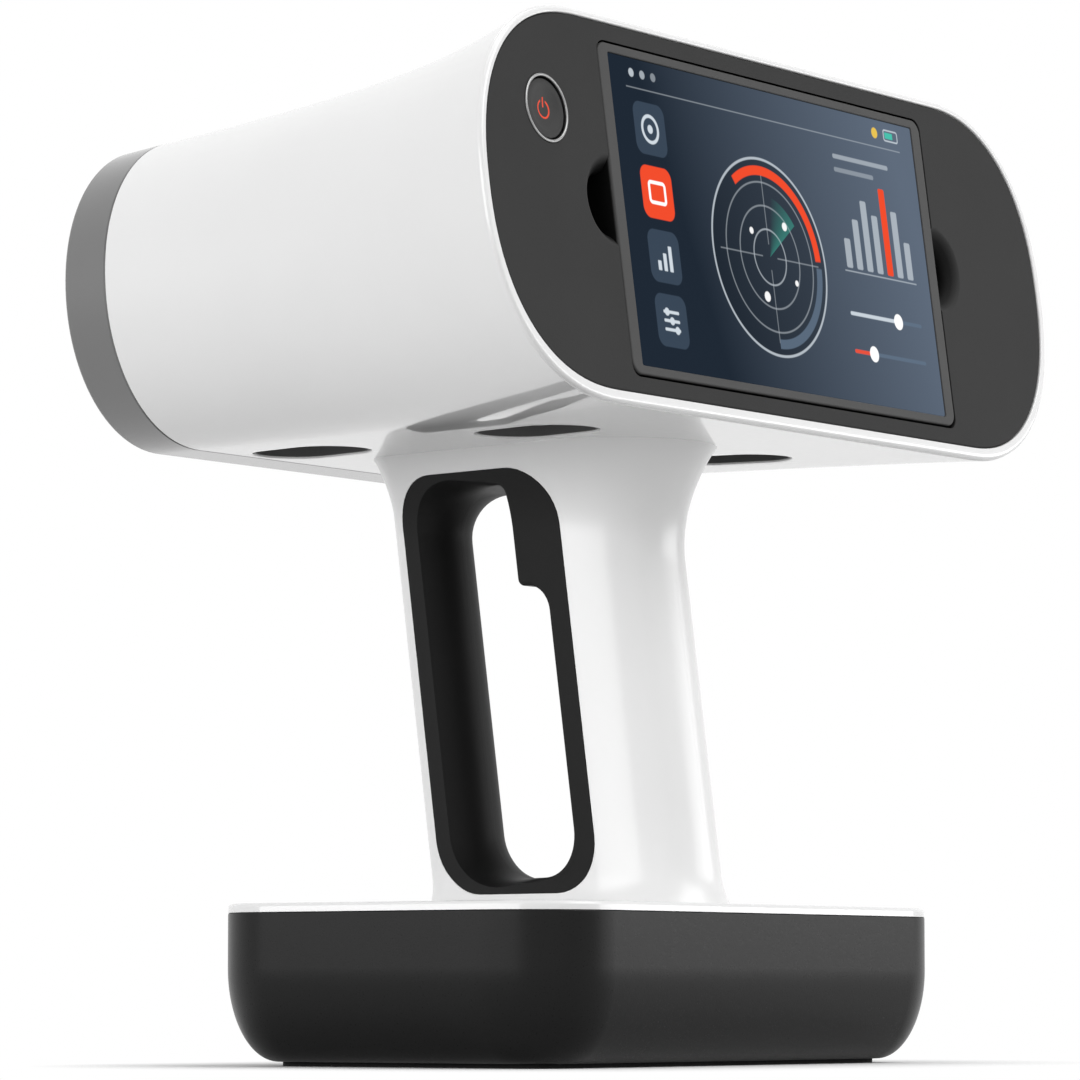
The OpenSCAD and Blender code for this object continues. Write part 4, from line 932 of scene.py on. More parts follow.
class SCANNER_OT_head(bpy.types.Operator):
    """Make the white head: sections from the rear rim to the front ring, the round rim, the mouth for the
    bezel and the inner wall, as one closed tube, with the vents cut through its floor"""
    bl_idname = "scanner.head"
    bl_label = "White head"

    def execute(self, context):
        h = settings("scanner_head")
        total = h.front_y + h.face_back
        ring_u = 1 - h.ring_w / total
        mid = h.face_h / 2 + h.bezel_up
        half_w, half_h = bezel_half(h)
        gap = 0.1 * MM
        # Rim: a conic between the flare and the face's plane, its corner at the sharp edge
        flare_turn = math.radians(25)
        start = 1.57 * h.rim_round
        weight = math.cos((math.pi / 2 + flare_turn) / 2)
        t = np.linspace(0, 1, 10)
        base = (1 - t) ** 2 + 2 * weight * t * (1 - t) + t ** 2
        draw = ((1 - t) ** 2 * start * math.sin(flare_turn) + t ** 2 * start) / base
        back = ((1 - t) ** 2 * start * math.cos(flare_turn)) / base
        # Sections lie closer together towards the flare
        crowd = 1.6
        outer_u = ring_u * np.linspace(1, (1.7 * h.rim_round / total / ring_u) ** (1 / crowd), 64) ** crowd
        outer_u[0] = ring_u - SEAM / total
        edge, below = quarter(SMALL_EDGE, 4)
        seat, ledge = 2.9 * MM, 2 * MM
        rings = np.concatenate([
            section_rings(h, [ring_u], SEAM),
            section_rings(h, outer_u),
            face_rings(h, h.face_w / 2 - draw, h.face_h / 2 - draw, -back, h.face_h / 2),
            face_rings(h, half_w + gap + edge[::-1], half_h + gap + edge[::-1], -below[::-1], mid),
            face_rings(h, [half_w + gap, half_w - ledge], [half_h + gap, half_h - ledge], [-seat] * 2, mid),
            section_rings(h, ring_u * np.linspace(2 / 12, 1, 24) ** crowd, h.wall, h.floor_t),
        ])
        head = loft("white_head", rings, wrap=True)
        tools = [vent_tool(f"vent_tool_{k}", h, at) for k, at in enumerate(vent_places())]
        harness, screws = (16.2 * MM, 0, -9 * MM), [(SCREW_BORE, *at) for at in neck_screw_places()]
        tools += [rod(f"neck_tool_{k}", d, h.under_z - 5 * MM, h.under_z + 9 * MM, x, y, upright)
                  for k, (d, x, y) in enumerate([harness, *screws])]
        carve(head, tools)
        dress(head, painted("white_gloss"), "scanner", ["head_shell"], flat=False)
        return {"FINISHED"}


class SCANNER_OT_front_ring(bpy.types.Operator):
    """Make the grey front ring: the head's last sections, a round front edge, the lip and the inner wall"""
    bl_idname = "scanner.front_ring"
    bl_label = "Grey front ring"

    def execute(self, context):
        h = settings("scanner_head")
        total = h.front_y + h.face_back
        ring_u = 1 - h.ring_w / total
        out, down = quarter(h.ring_round, 8)
        lip, sink = quarter(0.5 * MM, 4)
        inner, lip_t, rear_wall = h.ring_wall + 1.5 * MM, 2.5 * MM, 3 * MM
        rings = np.concatenate([
            section_rings(h, [ring_u], SEAM),
            section_rings(h, np.linspace(ring_u + SEAM / total, 1 - h.ring_round / total, 10)),
            front_rings(h, out, down),
            front_rings(h, inner - lip[::-1], sink[::-1]),
            front_rings(h, [inner, h.ring_wall], [lip_t, lip_t]),
        ])
        u = np.array([[ring_u]])
        tall = h.front_h + (h.face_h - h.front_h) * taper(h, u)
        x, y = stadium(h.front_w / 2 - rear_wall, h.front_h / 2 - rear_wall, h.front_run / 2, h.front_power)
        rear = section_place(h, u, x[None], tall / 2 + y[None])
        ring = loft("grey_front_ring", np.concatenate([rings, rear]), wrap=True)
        dress(ring, painted("ring_grey"), "scanner", ["front_ring"])
        return {"FINISHED"}


def sunk_tool(name, outline, grow, depth, surface, place):
    """Cutter for a sunk shape with a round edge: the outline spreads by a quarter round at the surface."""
    x, y, nx, ny = outline
    out, down = quarter(grow, 6)
    z = np.concatenate([[surface - depth], surface - out[::-1], [surface + 2 * MM]])
    off = np.concatenate([[0.0], down[::-1], [grow]])
    return loft(name, place(x + off[:, None] * nx, y + off[:, None] * ny, z[:, None] + 0 * x))


def scoop_tool(name, r, surface, place):
    """Cutter for a finger scoop, turned about z: a deep middle, a sloping bowl and a small round edge, given
    in millimetres past the radius and above the surface."""
    bowl = ((-3.6, -9.6), (-3.4, -4.2), (-3.1, -3.0), (-2.5, -2.0), (-1.6, -1.15), (-0.7, -0.5),
            (-0.3, -0.22), (0.0, -0.08), (0.35, 0.0), (0.35, 2.0))
    profile = [(r + a * MM, surface + b * MM) for a, b in bowl]
    return lathe(name, [(0, profile[0][1]), *profile, (0, profile[-1][1])], place)


def swing_profile(s, panel_w):
    """Barrel about the hinge that the panel's top edge sweeps, with its play: the radius is the distance
    from the hinge to the edge, which comes down in the panel's round corners."""
    u = np.linspace(0, s.panel_r, 10)
    edge = s.hinge_down - s.panel_r + np.sqrt(s.panel_r ** 2 - (s.panel_r - u) ** 2)
    play = s.swing_r - math.hypot(s.hinge_down, s.hinge_back)
    r = np.hypot(edge, s.hinge_back) + play
    out = panel_w / 2 + s.fine_gap / 2
    along = panel_w / 2 - u
    return [(0, -out), (r[0], -out), *zip(r, -along), *zip(r[::-1], along[::-1]), (r[0], out), (0, out)]


class SCANNER_OT_bezel(bpy.types.Operator):
    """Make the dark bezel: a stadium plate with a round edge, the well for the screen panel, two finger
    scoops and the power button's hole"""
    bl_idname = "scanner.bezel"
    bl_label = "Dark bezel"

    def execute(self, context):
        h, s = settings("scanner_head"), settings("scanner_face")
        place = face_place(h)
        mid = h.face_h / 2 + h.bezel_up
        half_w, half_h = bezel_half(h)
        panel_w, panel_h = panel_size(h, s)
        out, down = quarter(0.5 * MM, 5)
        front = -s.drop
        z = np.concatenate([[front - s.plate_t], front - down])
        draw = np.concatenate([[0.0], out])
        bezel = loft("dark_bezel", face_rings(h, half_w - draw, half_h - draw, z, mid))
        well_w, well_h = panel_w + 2 * s.fine_gap, panel_h + s.panel_gap + s.fine_gap
        well_mid = (s.fine_gap - s.panel_gap) / 2
        wall_low, wall_top, scoop_up = front - s.well_depth - 1.7 * MM, front - 1.5 * MM, 1 * MM
        scoops = list(enumerate((-panel_w / 2, panel_w / 2)))
        carve(bezel, [
            prism("well_box", rounded_rectangle(well_w + 6.8 * MM, well_h + 3.4 * MM, 4.8 * MM), wall_low,
                  wall_top, place),
            *[rod(f"scoop_box_{k}", 2 * s.scoop_r + 4 * MM, wall_low, wall_top, at, scoop_up, place)
              for k, at in scoops],
        ], "UNION")
        button_x = s.button_in - half_w
        carve(bezel, [
            sunk_tool("well_tool", rounded_rectangle(well_w, well_h, s.panel_r - 0.4 * MM), 0.15 * MM,
                      s.well_depth + front, front, lambda x, y, z: place(x, y + well_mid, z)),
            lathe("swing_tool", swing_profile(s, panel_w),
                  lambda a, c, e: place(e, panel_h / 2 - s.hinge_down + a, front - s.hinge_back + c), 128),
            *[scoop_tool(f"scoop_tool_{k}", s.scoop_r, front,
                         lambda x, y, z, at=at: place(at + x, scoop_up + y, z)) for k, at in scoops],
            rod("button_tool", s.button_d + 0.6 * MM, -8 * MM, 3 * MM, button_x, s.button_up, place),
            rod("ring_tool", s.ring_d + 0.2 * MM, front - 1.4 * MM, 3 * MM, button_x, s.button_up, place),
        ])
        dress(bezel, painted("bezel_grey"), "scanner", ["rear_bezel"])
        return {"FINISHED"}


class SCANNER_OT_screen(bpy.types.Operator):
    """Make the tilting screen panel with its round top edge, and the display glass with its picture"""
    bl_idname = "scanner.screen"
    bl_label = "Screen panel"

    def execute(self, context):
        h, s = settings("scanner_head"), settings("scanner_face")
        place = face_place(h)
        w, d = panel_size(h, s)
        glass_w, glass_h = w - 2 * s.border_side, d - 2 * s.border_end
        front = -s.drop
        # Rear edge, sides, round front edge and border, then the glass's seat and the opening behind it
        rim = [(0.4 * MM, s.panel_t), (0.0, s.panel_t - 0.4 * MM), (0.0, 2.6 * MM)]
        rim += [*zip(*quarter(0.5 * MM, 6)), *((e * MM, 0.0) for e in (0.8, 1.2, 1.6, 1.9))]
        rows = [(w - 2 * e, d - 2 * e, s.panel_r - e, front - b) for e, b in rim]
        play, lead, shelf, corner = 0.2 * MM, 0.3 * MM, 1.4 * MM, 0.6 * MM
        seat = glass_w + play, glass_h + play
        opening = glass_w - 7.2 * MM, glass_h - 3.2 * MM
        rows += [(seat[0] + lead, seat[1] + lead, corner + 0.1 * MM, front),
                 (*seat, corner, front - 0.15 * MM),
                 (*seat, corner, front - shelf),
                 (*opening, corner, front - shelf),
                 (*opening, corner, front - s.panel_t + 1.5 * MM)]
        rings = [place(*rounded_rectangle(rw, rd, rr, 12, 14)[:2], z) for rw, rd, rr, z in rows]
        panel = loft("screen_panel", rings)
        tools = [rod(f"hinge_tool_{k}", 2.5 * MM, 0, 9 * MM, 0, 0,
                     lambda a, b, c, side=side: place(side * (w / 2 - 7 * MM + c), d / 2 - s.hinge_down + a,
                                                      front - s.hinge_back + b))
                 for k, side in enumerate((-1, 1))]
        carve(panel, tools)
        dress(panel, painted("panel_grey"), "screen", ["screen_frame"])
        top_z, glass_t, corner = front - 0.2 * MM, 1.2 * MM, 0.5 * MM
        rings = [place(*rounded_rectangle(glass_w - 2 * e, glass_h - 2 * e, corner - e, 6, 14)[:2], top_z - b)
                 for e, b in ((0.0, glass_t), *zip(*quarter(0.2 * MM, 3)))]
        glass = loft("display_face", rings)
        map_flat(glass, *directions(place)[:2], glass_w, glass_h)
        dress(glass, painted("display"), "screen", ["display_glass"])
        return {"FINISHED"}


def coil(r, wire, low, high, turns):
    """Wire carried up a helix between two heights, its first and last turn flat: x, y and z arrays."""
    a = np.linspace(0, 2 * math.pi * turns, 40 * turns + 1)[:, None]
    b = once_round(12)
    rise = np.clip((a / (2 * math.pi) - 0.6) / (turns - 1.2), 0, 1)
    z = low + wire + (high - low - 2 * wire) * rise + wire * np.sin(b)
    reach = r + wire * np.cos(b)
    return reach * np.cos(a), reach * np.sin(a), z


class SCANNER_OT_power_button(bpy.types.Operator):
    """Make the dished power button with its sign, the bright ring round it and its spring"""
    bl_idname = "scanner.power_button"
    bl_label = "Power button"

    def execute(self, context):
        h, s = settings("scanner_head"), settings("scanner_face")
        face = face_place(h)
        at_x = s.button_in - bezel_half(h)[0]
        place = lambda x, y, z: face(x + at_x, y + s.button_up, z)
        origin, up, out = directions(place)
        r, top = s.button_d / 2, -s.drop - 0.2 * MM
        key_foot, stem_foot, stem_r, switch = top - 3.6 * MM, top - 6.6 * MM, 2 * MM, top - 9.6 * MM
        bowl, dish = 20 * MM, np.linspace(0, 5.45 * MM, 14)
        sink = bowl - np.sqrt(bowl ** 2 - dish ** 2)
        draw, down = quarter(0.4 * MM, 5)
        profile = [*zip(dish, top - sink[-1] + sink), *zip(r - draw[::-1], top - down[::-1]), (r, key_foot),
                   (stem_r, key_foot), (stem_r, stem_foot), (0, stem_foot)]
        button = lathe("power_key", profile, place)
        map_flat(button, origin, up, MARK_SIZE * MM, MARK_SIZE * MM)
        dress(button, painted("power_mark"), "power_key", ["power_button"])
        hole, ring_foot, crown = r + 0.3 * MM, -s.drop - 1.4 * MM, 0.25 * MM
        half = (s.ring_d / 2 - hole) / 2
        q = np.linspace(0, math.pi, 9)
        profile = [(hole, ring_foot), *zip(hole + half - half * np.cos(q), crown * np.sin(q) - crown),
                   (s.ring_d / 2, ring_foot)]
        ring = lathe("power_ring", profile, place, 128, tube=True)
        dress(ring, painted("ring_metal"), "scanner", ["button_ring"])
        high = key_foot - 0.02 * MM
        spring = loft("power_key_coil", place(*coil(4.4 * MM, 0.5 * MM, switch, high, 5)))
        dress(spring, painted("steel"), "scanner", ["button_spring"], flat=False)
        tuple(out)
        tuple(place(0.0, 0.0, switch))
        1 - 0.82 * MM / (high - switch)
        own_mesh(spring)
        return {"FINISHED"}


# Shape of the grip

def leaned(g, y, z):
    """Place along the scan of a point on the leaning grip, given at a height of 100 mm."""
    return y + (z - 100 * MM) * math.tan(g.lean)


def grip_outline(g, round_steps=72, side_steps=16):
    """Hull of the palm's ellipse and the nose's circle: points, outward normals and the angle of each. The
    two arcs meet on tangents where both shapes reach equally far."""
    r, a, b = g.nose_t / 2, g.palm_t / 2, g.palm_d
    nose = g.nose_y - r

    def reach_gap(s):
        """How much further the palm's ellipse reaches than the nose's circle along a normal with sine s."""
        c2 = 1 - s * s
        return g.palm_y * s + math.sqrt(a * a * c2 + b * b * s * s) - nose * s - r

    low, high = 0.0, 1.0
    for _ in range(60):
        half = (low + high) / 2
        low, high = (half, high) if reach_gap(half) > 0 else (low, half)
    tilt = math.asin(low)
    q = np.linspace(tilt, math.pi - tilt, round_steps)
    nose_x, nose_p = r * np.cos(q), nose + r * np.sin(q)
    p = np.linspace(math.pi - tilt, 2 * math.pi + tilt, 2 * round_steps)
    span = np.sqrt((a * np.cos(p)) ** 2 + (b * np.sin(p)) ** 2)
    palm_x, palm_p = a * a * np.cos(p) / span, g.palm_y + b * b * np.sin(p) / span
    t = np.linspace(0, 1, side_steps + 1)[1:-1]
    join = lambda u, v: u + (v - u) * t
    x = np.concatenate([nose_x, join(nose_x[-1], palm_x[0]), palm_x, join(palm_x[-1], nose_x[0])])
    y = np.concatenate([nose_p, join(nose_p[-1], palm_p[0]), palm_p, join(palm_p[-1], nose_p[0])])
    turn = np.concatenate([q, np.full_like(t, q[-1]), p, np.full_like(t, p[-1])])
    return x, y, np.cos(turn), np.sin(turn)


def grip_flare(g, forward, z, head_z, foot_z):
    """Flare of the grip: a square law up to the head, wider and taller at the rear, and one at the foot."""
    back = (1 - forward) / 2
    reach = g.flare_front_h + (g.flare_rear_h - g.flare_front_h) * back
    up = np.maximum(0, (z - head_z + reach) / reach)
    down = np.maximum(0, (foot_z + g.foot_flare_h - z) / g.foot_flare_h)
    wide = g.flare_front + (g.flare_rear - g.flare_front) * back
    return wide * up ** 2 + g.foot_flare * down ** 2


def side_half(g, y, z):
    """Half-width of the grip's flat side at a place along it, read off its outline, with the flare of the
    side's middle."""
    h, b = settings("scanner_head"), settings("scanner_base")
    outline = np.stack(grip_outline(g))
    x, p, nx, ny = outline[:, outline[0] > 0]
    order = np.argsort(p)
    side = np.argmin(np.abs(p - 15 * MM))
    flare = grip_flare(g, ny[side], z, h.under_z, b.tub_top + b.plate_t)
    return np.interp(y - flare * ny[side], p[order], x[order]) + flare * nx[side]


def side_outline(y0, y1, z0, z1, r):
    """Leaning rectangle with round corners in the grip's side view: y before leaning, and z."""
    y, z, _, _ = rounded_rectangle(y1 - y0, z1 - z0, r, 10, 12)
    return y + (y0 + y1) / 2, z + (z0 + z1) / 2


def across_prism(name, g, outline, half):
    """Prism across the grip on a side-view outline."""
    y, z = outline
    x = np.array([-half, half])[:, None]
    return loft(name, upright(x + 0 * y, leaned(g, y, z) + 0 * x, z + 0 * x))


def across_cushion(name, g, outline, half, round_r, steps=5):
    """Prism across the grip whose long edges are round."""
    y, z = outline
    step_y = np.roll(y, -1) - np.roll(y, 1)
    step_z = np.roll(z, -1) - np.roll(z, 1)
    size = np.hypot(step_y, step_z)
    ny, nz = step_z / size, -step_y / size
    if np.sum(y * np.roll(z, -1) - np.roll(y, -1) * z) < 0:
        ny, nz = -ny, -nz
    out, down = quarter(round_r, steps)
    draw = np.concatenate([out[::-1], out])[:, None]
    side = np.concatenate([-np.ones(steps + 1), np.ones(steps + 1)])[:, None]
    inset = np.concatenate([down[::-1], down])[:, None]
    yy, zz = y - draw * ny, z - draw * nz
    return loft(name, upright(side * (half - inset), leaned(g, yy, zz), zz))


class SCANNER_OT_grip(bpy.types.Operator):
    """Make the two halves of the white grip: rings of palm and nose with their flares, hollowed for the
    palm, the liner and the screws, and parted at the middle"""
    bl_idname = "scanner.grip"
    bl_label = "White grip"

    def execute(self, context):
        h, g, b = settings("scanner_head"), settings("scanner_grip"), settings("scanner_base")
        foot = b.tub_top + b.plate_t
        x, y, nx, ny = grip_outline(g)
        levels = np.concatenate([foot + g.foot_flare_h * np.linspace(0, 1, 15)[:-1] ** 1.3,
                                 np.linspace(foot + g.foot_flare_h, h.under_z - g.flare_rear_h, 22)[:-1],
                                 np.linspace(h.under_z - g.flare_rear_h, h.under_z, 30)])[:, None]
        flare = grip_flare(g, ny, levels, h.under_z, foot)
        rings = upright(x + flare * nx, leaned(g, y + flare * ny, levels), levels + 0 * x)
        q = once_round(96)
        span = np.array([foot - 1 * MM, h.under_z + 1 * MM])[:, None]
        gap, parting, clear = 0.1 * MM, 0.03 * MM, 40 * MM
        rear, front = g.hole_rear - g.liner_side - gap, g.hole_rear + g.hole_w + g.liner_front + gap
        low, high = g.hole_z - g.liner_end - gap, g.hole_z + g.hole_h + g.liner_end + gap
        for side, name in ((-1, "left"), (1, "right")):
            half = loft(f"white_grip_{name}", rings)
            tools = [loft("palm_tool", upright((g.palm_t / 2 - g.wall) * np.cos(q) + 0 * span,
                                               leaned(g, g.palm_y + (g.palm_d - g.wall) * np.sin(q), span),
                                               span + 0 * q)),
                     across_prism("liner_tool", g, side_outline(rear, front, low, high, g.liner_r), clear)]
            for k, z in enumerate((62 * MM, 100 * MM)):
                at_y = leaned(g, g.palm_y - 2 * MM, z)
                turned = lambda a, c, e, at_y=at_y, z=z: upright(e, at_y + a, z + c)
                tools.append(rod(f"screw_tool_{k}", SCREW_BORE, -8.1 * MM, 25 * MM, 0, 0, turned))
                tools.append(rod(f"screw_head_tool_{k}", SCREW_HEAD, 9 * MM, 25 * MM, 0, 0, turned))
            tools += [rod(f"neck_screw_tool_{k}", SCREW_BORE, h.under_z - 3.3 * MM, h.under_z + 3 * MM, *at,
                          upright) for k, at in enumerate(neck_screw_places())]
            other_side = plain_rectangle(-side * (clear + parting), 0, 2 * clear, 6 * clear)
            tools.append(prism("half_tool", other_side, foot - 5 * MM, h.under_z + 5 * MM, upright))
            carve(half, tools)
            dress(half, painted("grip_white"), "scanner", [f"grip_{name}"], flat=False)
        return {"FINISHED"}


def liner_outlines(g):
    """Inner and outer outline of the liner in side view, station by station and anticlockwise. The inner
    one is the hole, with the trigger block standing in from its rear over a small round corner and a
    fillet. The outer one is a rectangle with round corners."""
    r, wide, small, fillet, top_r = g.hole_r, g.liner_r, 1.6 * MM, 6 * MM, 2 * MM
    low, top, rear, front = g.hole_z, g.hole_z + g.hole_h, g.hole_rear, g.hole_rear + g.hole_w
    foot, face = top - g.trigger_h, rear + g.trigger_reach
    back, ahead = rear - g.liner_side, front + g.liner_front
    base, crown = low - g.liner_end, top + g.liner_end

    def arc(y, z, radius, start, end):
        """Walk on a circle from one angle in degrees to another as t goes from 0 to 1."""
        def walk(t):
            q = np.radians(start + (end - start) * t)
            return y + radius * np.cos(q), z + radius * np.sin(q)
        return walk

    def run(y0, z0, y1, z1):
        """Walk on a straight line as t goes from 0 to 1."""
        return lambda t: (y0 + (y1 - y0) * t, z0 + (z1 - z0) * t)

    def down(z0, z1):
        """Walk down the liner's back."""
        return run(back, z0, back, z1)

    legs = (
        (24, run(front, low + r, front, top - r), run(ahead, base + wide, ahead, crown - wide)),
        (14, arc(front - r, top - r, r, 0, 90), arc(ahead - wide, crown - wide, wide, 0, 90)),
        (12, run(front - r, top, face + top_r, top), run(ahead - wide, crown, back + wide, crown)),
        (14, arc(face + top_r, top - top_r, top_r, 90, 180), arc(back + wide, crown - wide, wide, 90, 180)),
        (10, run(face, top - top_r, face, foot + small), down(crown - wide, foot + 4 * MM)),
        (8, arc(face - small, foot + small, small, 0, -90), down(foot + 4 * MM, foot + 2 * MM)),
        (2, run(face - small, foot, rear + fillet, foot), down(foot + 2 * MM, foot + 1 * MM)),
        (12, arc(rear + fillet, foot - fillet, fillet, 90, 180), down(foot + 1 * MM, foot - fillet)),
        (16, run(rear, foot - fillet, rear, low + r), down(foot - fillet, base + wide)),
        (14, arc(rear + r, low + r, r, 180, 270), arc(back + wide, base + wide, wide, 180, 270)),
        (12, run(rear + r, low, front - r, low), run(back + wide, base, ahead - wide, base)),
        (14, arc(front - r, low + r, r, 270, 360), arc(ahead - wide, base + wide, wide, 270, 360)))
    steps = [np.linspace(0, 1, count, endpoint=False) for count, _, _ in legs]
    inner = [leg[1](t) for leg, t in zip(legs, steps)]
    outer = [leg[2](t) for leg, t in zip(legs, steps)]
    return tuple(np.concatenate(part) for pairs in (inner, outer) for part in zip(*pairs))


class SCANNER_OT_liner(bpy.types.Operator):
    """Make the black liner of the finger hole with the block beside the trigger: a closed profile carried
    round the hole, its inner wall with a small round edge, which bows into the hole on a square law towards
    the front, a rim flush with the grip and an outer wall"""
    bl_idname = "scanner.liner"
    bl_label = "Finger hole liner"

    def execute(self, context):
        g = settings("scanner_grip")
        top = g.hole_z + g.hole_h
        rear, front = g.hole_rear, g.hole_rear + g.hole_w
        in_y, in_z, out_y, out_z = liner_outlines(g)
        go_y, go_z = np.roll(in_y, -1) - np.roll(in_y, 1), np.roll(in_z, -1) - np.roll(in_z, 1)
        go = np.hypot(go_y, go_z)
        width = np.hypot(out_y - in_y, out_z - in_z)
        # 0 at the rear and the block, 1 at the front wall
        start = rear + g.trigger_reach + 1 * MM
        ahead = np.clip((in_y - start) / (front - start - 3 * MM), 0, 1)
        ahead = ahead ** 2 * (3 - 2 * ahead)
        way_y = (1 - ahead) * go_z / go + ahead * (out_y - in_y) / width
        way_z = (ahead - 1) * go_y / go + ahead * (out_z - in_z) / width
        flat_rows, bent_rows = 3, 16
        q = np.linspace(0, math.pi / 2, bent_rows)[:, None]
        s = np.linspace(0.04, 1, bent_rows)[:, None]
        bend = (1 - ahead) * g.liner_edge * (1 - np.cos(q)) + ahead * g.liner_bow * width * s ** 2
        bend = np.concatenate([np.zeros((flat_rows, len(width))), bend])
        rim = np.linspace(0.2, 1, 5)[:, None]
        y, z = in_y + way_y * bend, in_z + way_z * bend
        y = np.concatenate([y, y[-1] + (out_y - y[-1]) * rim])
        z = np.concatenate([z, z[-1] + (out_z - z[-1]) * rim])
        x = side_half(g, y, z) + 0.1 * MM
        bent = slice(flat_rows, flat_rows + bent_rows)
        x[bent] = x[bent] * (1 - ahead + ahead * s) - (1 - ahead) * g.liner_edge * (1 - np.sin(q))
        x[:flat_rows] = x[flat_rows] * np.array([[0.0], [0.45], [0.85]])
        right = upright(x, leaned(g, y, z), z)
        left = right[:0:-1] * np.array([-1.0, 1, 1])
        liner = loft("black_liner", np.concatenate([right, left]), wrap=True)
        foot = top - g.trigger_h
        slot = across_prism("slot_tool", g, side_outline(
            rear - g.liner_side - 1 * MM, rear + g.trigger_reach + 0.9 * MM, foot + 1.6 * MM,
            top + g.liner_end - 0.6 * MM, 0.6 * MM), g.trigger_w / 2 + 0.3 * MM)
        carve(liner, [slot])
        dress(liner, painted("liner_black"), "scanner", ["grip_liner"])
        return {"FINISHED"}


class SCANNER_OT_trigger(bpy.types.Operator):
    """Make the trigger: a cushioned block with its flange behind the liner"""
    bl_idname = "scanner.trigger"
    bl_label = "Trigger"

    def execute(self, context):
        g = settings("scanner_grip")
        top = g.hole_z + g.hole_h
        low = top - g.trigger_h + 1.9 * MM
        high = top + g.liner_end - 0.9 * MM
        back, front = g.hole_rear - g.liner_side - 2.3 * MM, g.hole_rear + g.trigger_reach + 0.6 * MM
        flange_t, reach = 2 * MM, 1.6 * MM
        trigger = across_cushion("trigger_key_face", g, side_outline(back, front, low, high, 1.6 * MM),
                                 g.trigger_w / 2, 0.8 * MM)
        flange = across_prism("flange_tool", g, side_outline(back, back + flange_t, low - reach, high + reach,
                                                             0.6 * MM), g.trigger_w / 2 + reach)
        carve(trigger, [flange], "UNION")
        dress(trigger, painted("liner_black"), "trigger_key", ["trigger"])
        return {"FINISHED"}


# Shape of the base

def base_rings(b, z, inset):
    """Rounded rectangles of the base at heights z, drawn in by inset."""
    return np.stack([upright(*rounded_rectangle(b.w - 2 * i, b.d - 2 * i, b.r - i, 20, 16)[:2], at)
                     for at, i in zip(z, inset)])


def tub_profile(b, steps=28):
    """Outer profile of the tub from its foot: a quarter ellipse, the wall and a small round at the top."""
    q = np.linspace(0, math.pi / 2, steps)
    out, down = quarter(0.4 * MM, 4)
    z = np.concatenate([b.pad_t + b.edge_h * (1 - np.cos(q)), b.tub_top - down])
    inset = np.concatenate([b.edge_w * (1 - np.sin(q)), out])
    return z, inset


def post_places():
    """Middles of the tub's four screw posts."""
    return [(sx * 56.6 * MM, sy * 30 * MM) for sx in (-1, 1) for sy in (-1, 1)]


class SCANNER_OT_base(bpy.types.Operator):
    """Make the charcoal tub with its round lower edge, cut for the drawer, and the white base plate"""
    bl_idname = "scanner.base"
    bl_label = "Base"

    def execute(self, context):
        b = settings("scanner_base")
        z, inset = tub_profile(b)
        floor, top = b.pad_t + b.floor_t, b.tub_top + b.plate_t
        q = np.linspace(math.pi / 2, math.acos(1 - b.floor_t / b.edge_h), 14)
        inner_z = b.pad_t + b.edge_h * (1 - np.cos(q))
        inner_in = b.wall + b.edge_w * (1 - np.sin(q))
        tub = loft("charcoal_tub", np.concatenate([
            base_rings(b, z, inset),
            base_rings(b, [b.tub_top], [b.wall]),
            base_rings(b, inner_z, inner_in)]))
        posts = list(enumerate(post_places()))
        post_d, boss_l, gap, root = 9 * MM, 8 * MM, 0.3 * MM, 0.5 * MM
        rail_x, rail_w, rail_l, rail_h = b.drawer_w / 2 - 8 * MM, 6 * MM, 68 * MM, 3.2 * MM
        rails = list(enumerate((-rail_x, rail_x)))
        carve(tub, [
            *[rod(f"post_{k}", post_d, floor - root, b.tub_top - boss_l, x, y, upright)
              for k, (x, y) in posts],
            *[prism(f"rail_{k}", plain_rectangle(x, 0, rail_w, rail_l), floor - root, floor + rail_h, upright)
              for k, x in rails],
        ], "UNION")
        tools = [prism("drawer_tool", plain_rectangle(0, b.d / 2, b.drawer_w + 2 * gap, 54 * MM),
                       b.drawer_z - gap, b.drawer_z + b.drawer_h + gap, upright)]
        for k, (x, y) in posts:
            tools.append(rod(f"post_bore_{k}", SCREW_BORE, -1 * MM, b.tub_top, x, y, upright))
            tools.append(rod(f"post_head_{k}", SCREW_HEAD, -1 * MM, floor + 1 * MM, x, y, upright))
        tools += [rod(f"catch_bore_{k}", 4.2 * MM, floor, floor + 5 * MM, x, 24 * MM, upright)
                  for k, x in rails]
        carve(tub, tools)
        dress(tub, painted("tub_charcoal"), "scanner", ["base_tub"])
        out, down = quarter(b.plate_round, 7)
        under = 0.25 * MM
        low, rise = quarter(under, 3)
        plate_z = np.concatenate([b.tub_top + under - rise[::-1], top - down])
        plate = loft("white_base_plate", base_rings(b, plate_z, np.concatenate([low[::-1], out])))
        carve(plate, [rod(f"boss_{k}", post_d, b.tub_top - boss_l, b.tub_top + root, x, y, upright)
                      for k, (x, y) in posts], "UNION")
        tools = [rod("harness_tool", 8 * MM, b.tub_top - 3 * MM, top + 3 * MM, 0, -26 * MM, upright)]
        tools += [rod(f"boss_bore_{k}", SCREW_BORE, b.tub_top - boss_l - 1 * MM, b.tub_top - root, x, y,
                      upright) for k, (x, y) in posts]
        carve(plate, tools)
        dress(plate, painted("white_gloss"), "scanner", ["base_plate"])
        return {"FINISHED"}


